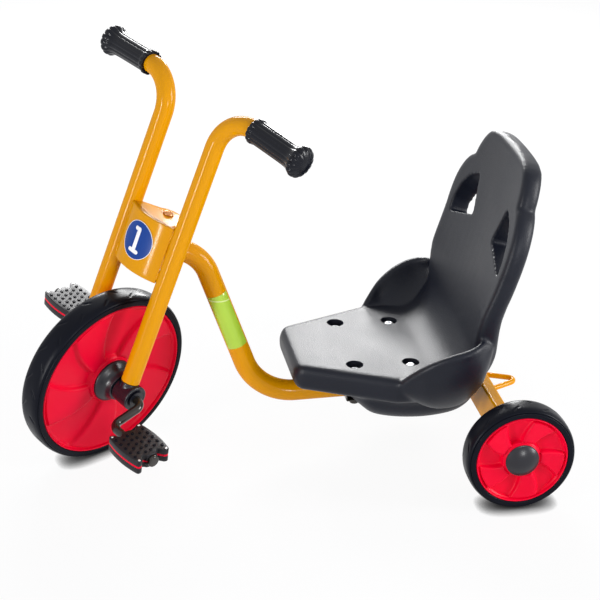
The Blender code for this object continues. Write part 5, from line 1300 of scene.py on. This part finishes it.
def seen_directly(tree):
    """One for camera, glossy and transmission rays, else nought: the largest of Light Path's three."""
    path = add(tree, "ShaderNodeLightPath")
    first = add(tree, "ShaderNodeMath", {0: path.outputs["Is Camera Ray"], 1: path.outputs["Is Glossy Ray"]},
                operation="MAXIMUM")
    return add(tree, "ShaderNodeMath", {0: first.outputs[0], 1: path.outputs["Is Transmission Ray"]},
               operation="MAXIMUM").outputs[0]


def build_studio():
    """A dim world that is white where it is seen, a white floor, and five soft boxes."""
    scene = bpy.context.scene
    scene.view_settings.view_transform = "Standard"
    world = bpy.data.worlds.new("studio")
    tree = emptied(world)
    plain = add(tree, "ShaderNodeBackground", {"Color": linear("#EEF0F8"), "Strength": 0.40})
    white = add(tree, "ShaderNodeBackground", {"Color": (1, 1, 1, 1), "Strength": 1.0})
    mix = add(tree, "ShaderNodeMixShader", {0: seen_directly(tree), 1: plain.outputs[0], 2: white.outputs[0]})
    add(tree, "ShaderNodeOutputWorld", {"Surface": mix.outputs[0]})
    scene.world = world
    build_floor()
    # Behind, two for the sheen on level faces; a tall strip ahead for the long streaks; one near, one aft
    lamp("back_box", (-2.4, 0.20, 1.52), (0, 0.1, 0.2), (1.3, 0.60), 62)
    lamp("low_box", (-2.4, 0.93, 0.96), (0, -0.2, 0.4), (0.46, 0.36), 22)
    lamp("key_box", (1.7, -2.7, 0.80), (0, 0, 0.30), (0.25, 1.4), 55)
    lamp("front_box", (2.9, 0.9, 0.9), (0, 0, 0.2), (0.45, 0.45), 18)
    lamp("side_box", (1.2, 2.9, 1.1), (0, 0, 0.25), (1.0, 1.5), 80)


def lamp(name, place, aim, size, power):
    """A rectangular soft box at a place, facing its aim, with its size in metres and its power in watts."""
    data = bpy.data.lights.new(name, "AREA")
    data.shape = "RECTANGLE"
    data.size, data.size_y = size
    data.energy = power
    thing = bpy.data.objects.new(name, data)
    back = unit(np.array(place, float) - np.array(aim, float))
    right = unit(np.cross([0, 0, 1], back))
    thing.matrix_world = matrix_of(right, np.cross(back, right), back, place)
    thing.visible_camera = False
    bpy.context.scene.collection.objects.link(thing)


def build_floor():
    """A wide pale floor. Seen directly it is mostly white, with painted contact shade where something stands
    close above it.
    """
    material = bpy.data.materials.new("studio_floor_white")
    tree = emptied(material)
    matt = add(tree, "ShaderNodeBsdfDiffuse", {"Color": linear("#E6E6E8")})
    # Painted contact shade: occlusion within 23 mm dims the floor's emitted white under the tyres
    near = add(tree, "ShaderNodeAmbientOcclusion", {"Distance": 0.023}, samples=8, only_local=False)
    painted_contact_shade = add(tree, "ShaderNodeMath", {0: near.outputs["AO"], 1: 2.5}, operation="POWER")
    glow = add(tree, "ShaderNodeEmission", {"Color": (1, 1, 1, 1), "Strength": painted_contact_shade.outputs[0]})
    share = add(tree, "ShaderNodeMath", {0: seen_directly(tree), 1: 0.93}, operation="MULTIPLY")
    mix = add(tree, "ShaderNodeMixShader", {0: share.outputs[0], 1: matt.outputs[0], 2: glow.outputs[0]})
    add(tree, "ShaderNodeOutputMaterial", {"Surface": mix.outputs[0]})
    half = 12
    x, y = np.meshgrid(np.linspace(-half, half, 7), np.linspace(-half, half, 7), indexing="ij")
    points, quads = shell(np.stack([x, y, np.zeros_like(x)], -1), wrap_columns=False)
    mesh = bpy.data.meshes.new("studio_floor")
    mesh.from_pydata(points.tolist(), [], quads.tolist())
    mesh.materials.append(material)
    floor = bpy.data.objects.new("studio_floor", mesh)
    bpy.context.scene.collection.objects.link(floor)


KEPT = {
    "zinc": ("rear_axle", "axle_washer_left", "axle_washer_right", "axle_nut_left", "axle_nut_right",
             "pivot_nut", "drive_pin"),
    "bush": ("steering_bush_top", "steering_bush_bottom", "rear_bush_left", "rear_bush_right"),
    "nylon": ("beam_plug_left", "beam_plug_right", "crank_bush_left", "crank_bush_right"),
    # Seat rails: blackened steel as painted shade, so they sink into the dark under the seat
    "crank": ("seat_rail_front", "seat_rail_rear"),
}


def finish_kept_nodes():
    """Gives the CAD nodes that stay visible the finish of the same real part; the seat rails' blackened steel
    is painted shade, dark so they sink into the shadow under the seat.
    """
    for key, names in KEPT.items():
        for name in names:
            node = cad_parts[name]
            node.data.materials.clear()
            node.data.materials.append(FINISHES[key])


build_camera()
build_finishes()
finish_kept_nodes()
build_down_tube()
build_head_sleeve()
build_cross_beam()
for side_name, side_sign in SIDES:
    build_fork_tube(side_name, side_sign)
    build_hub_housing(side_name, side_sign)
    build_pedal(side_name)
    build_rear_wheel(side_name)
build_head_plates()
build_number()
build_pivot()
build_front_wheel()
build_seat()
build_studio()
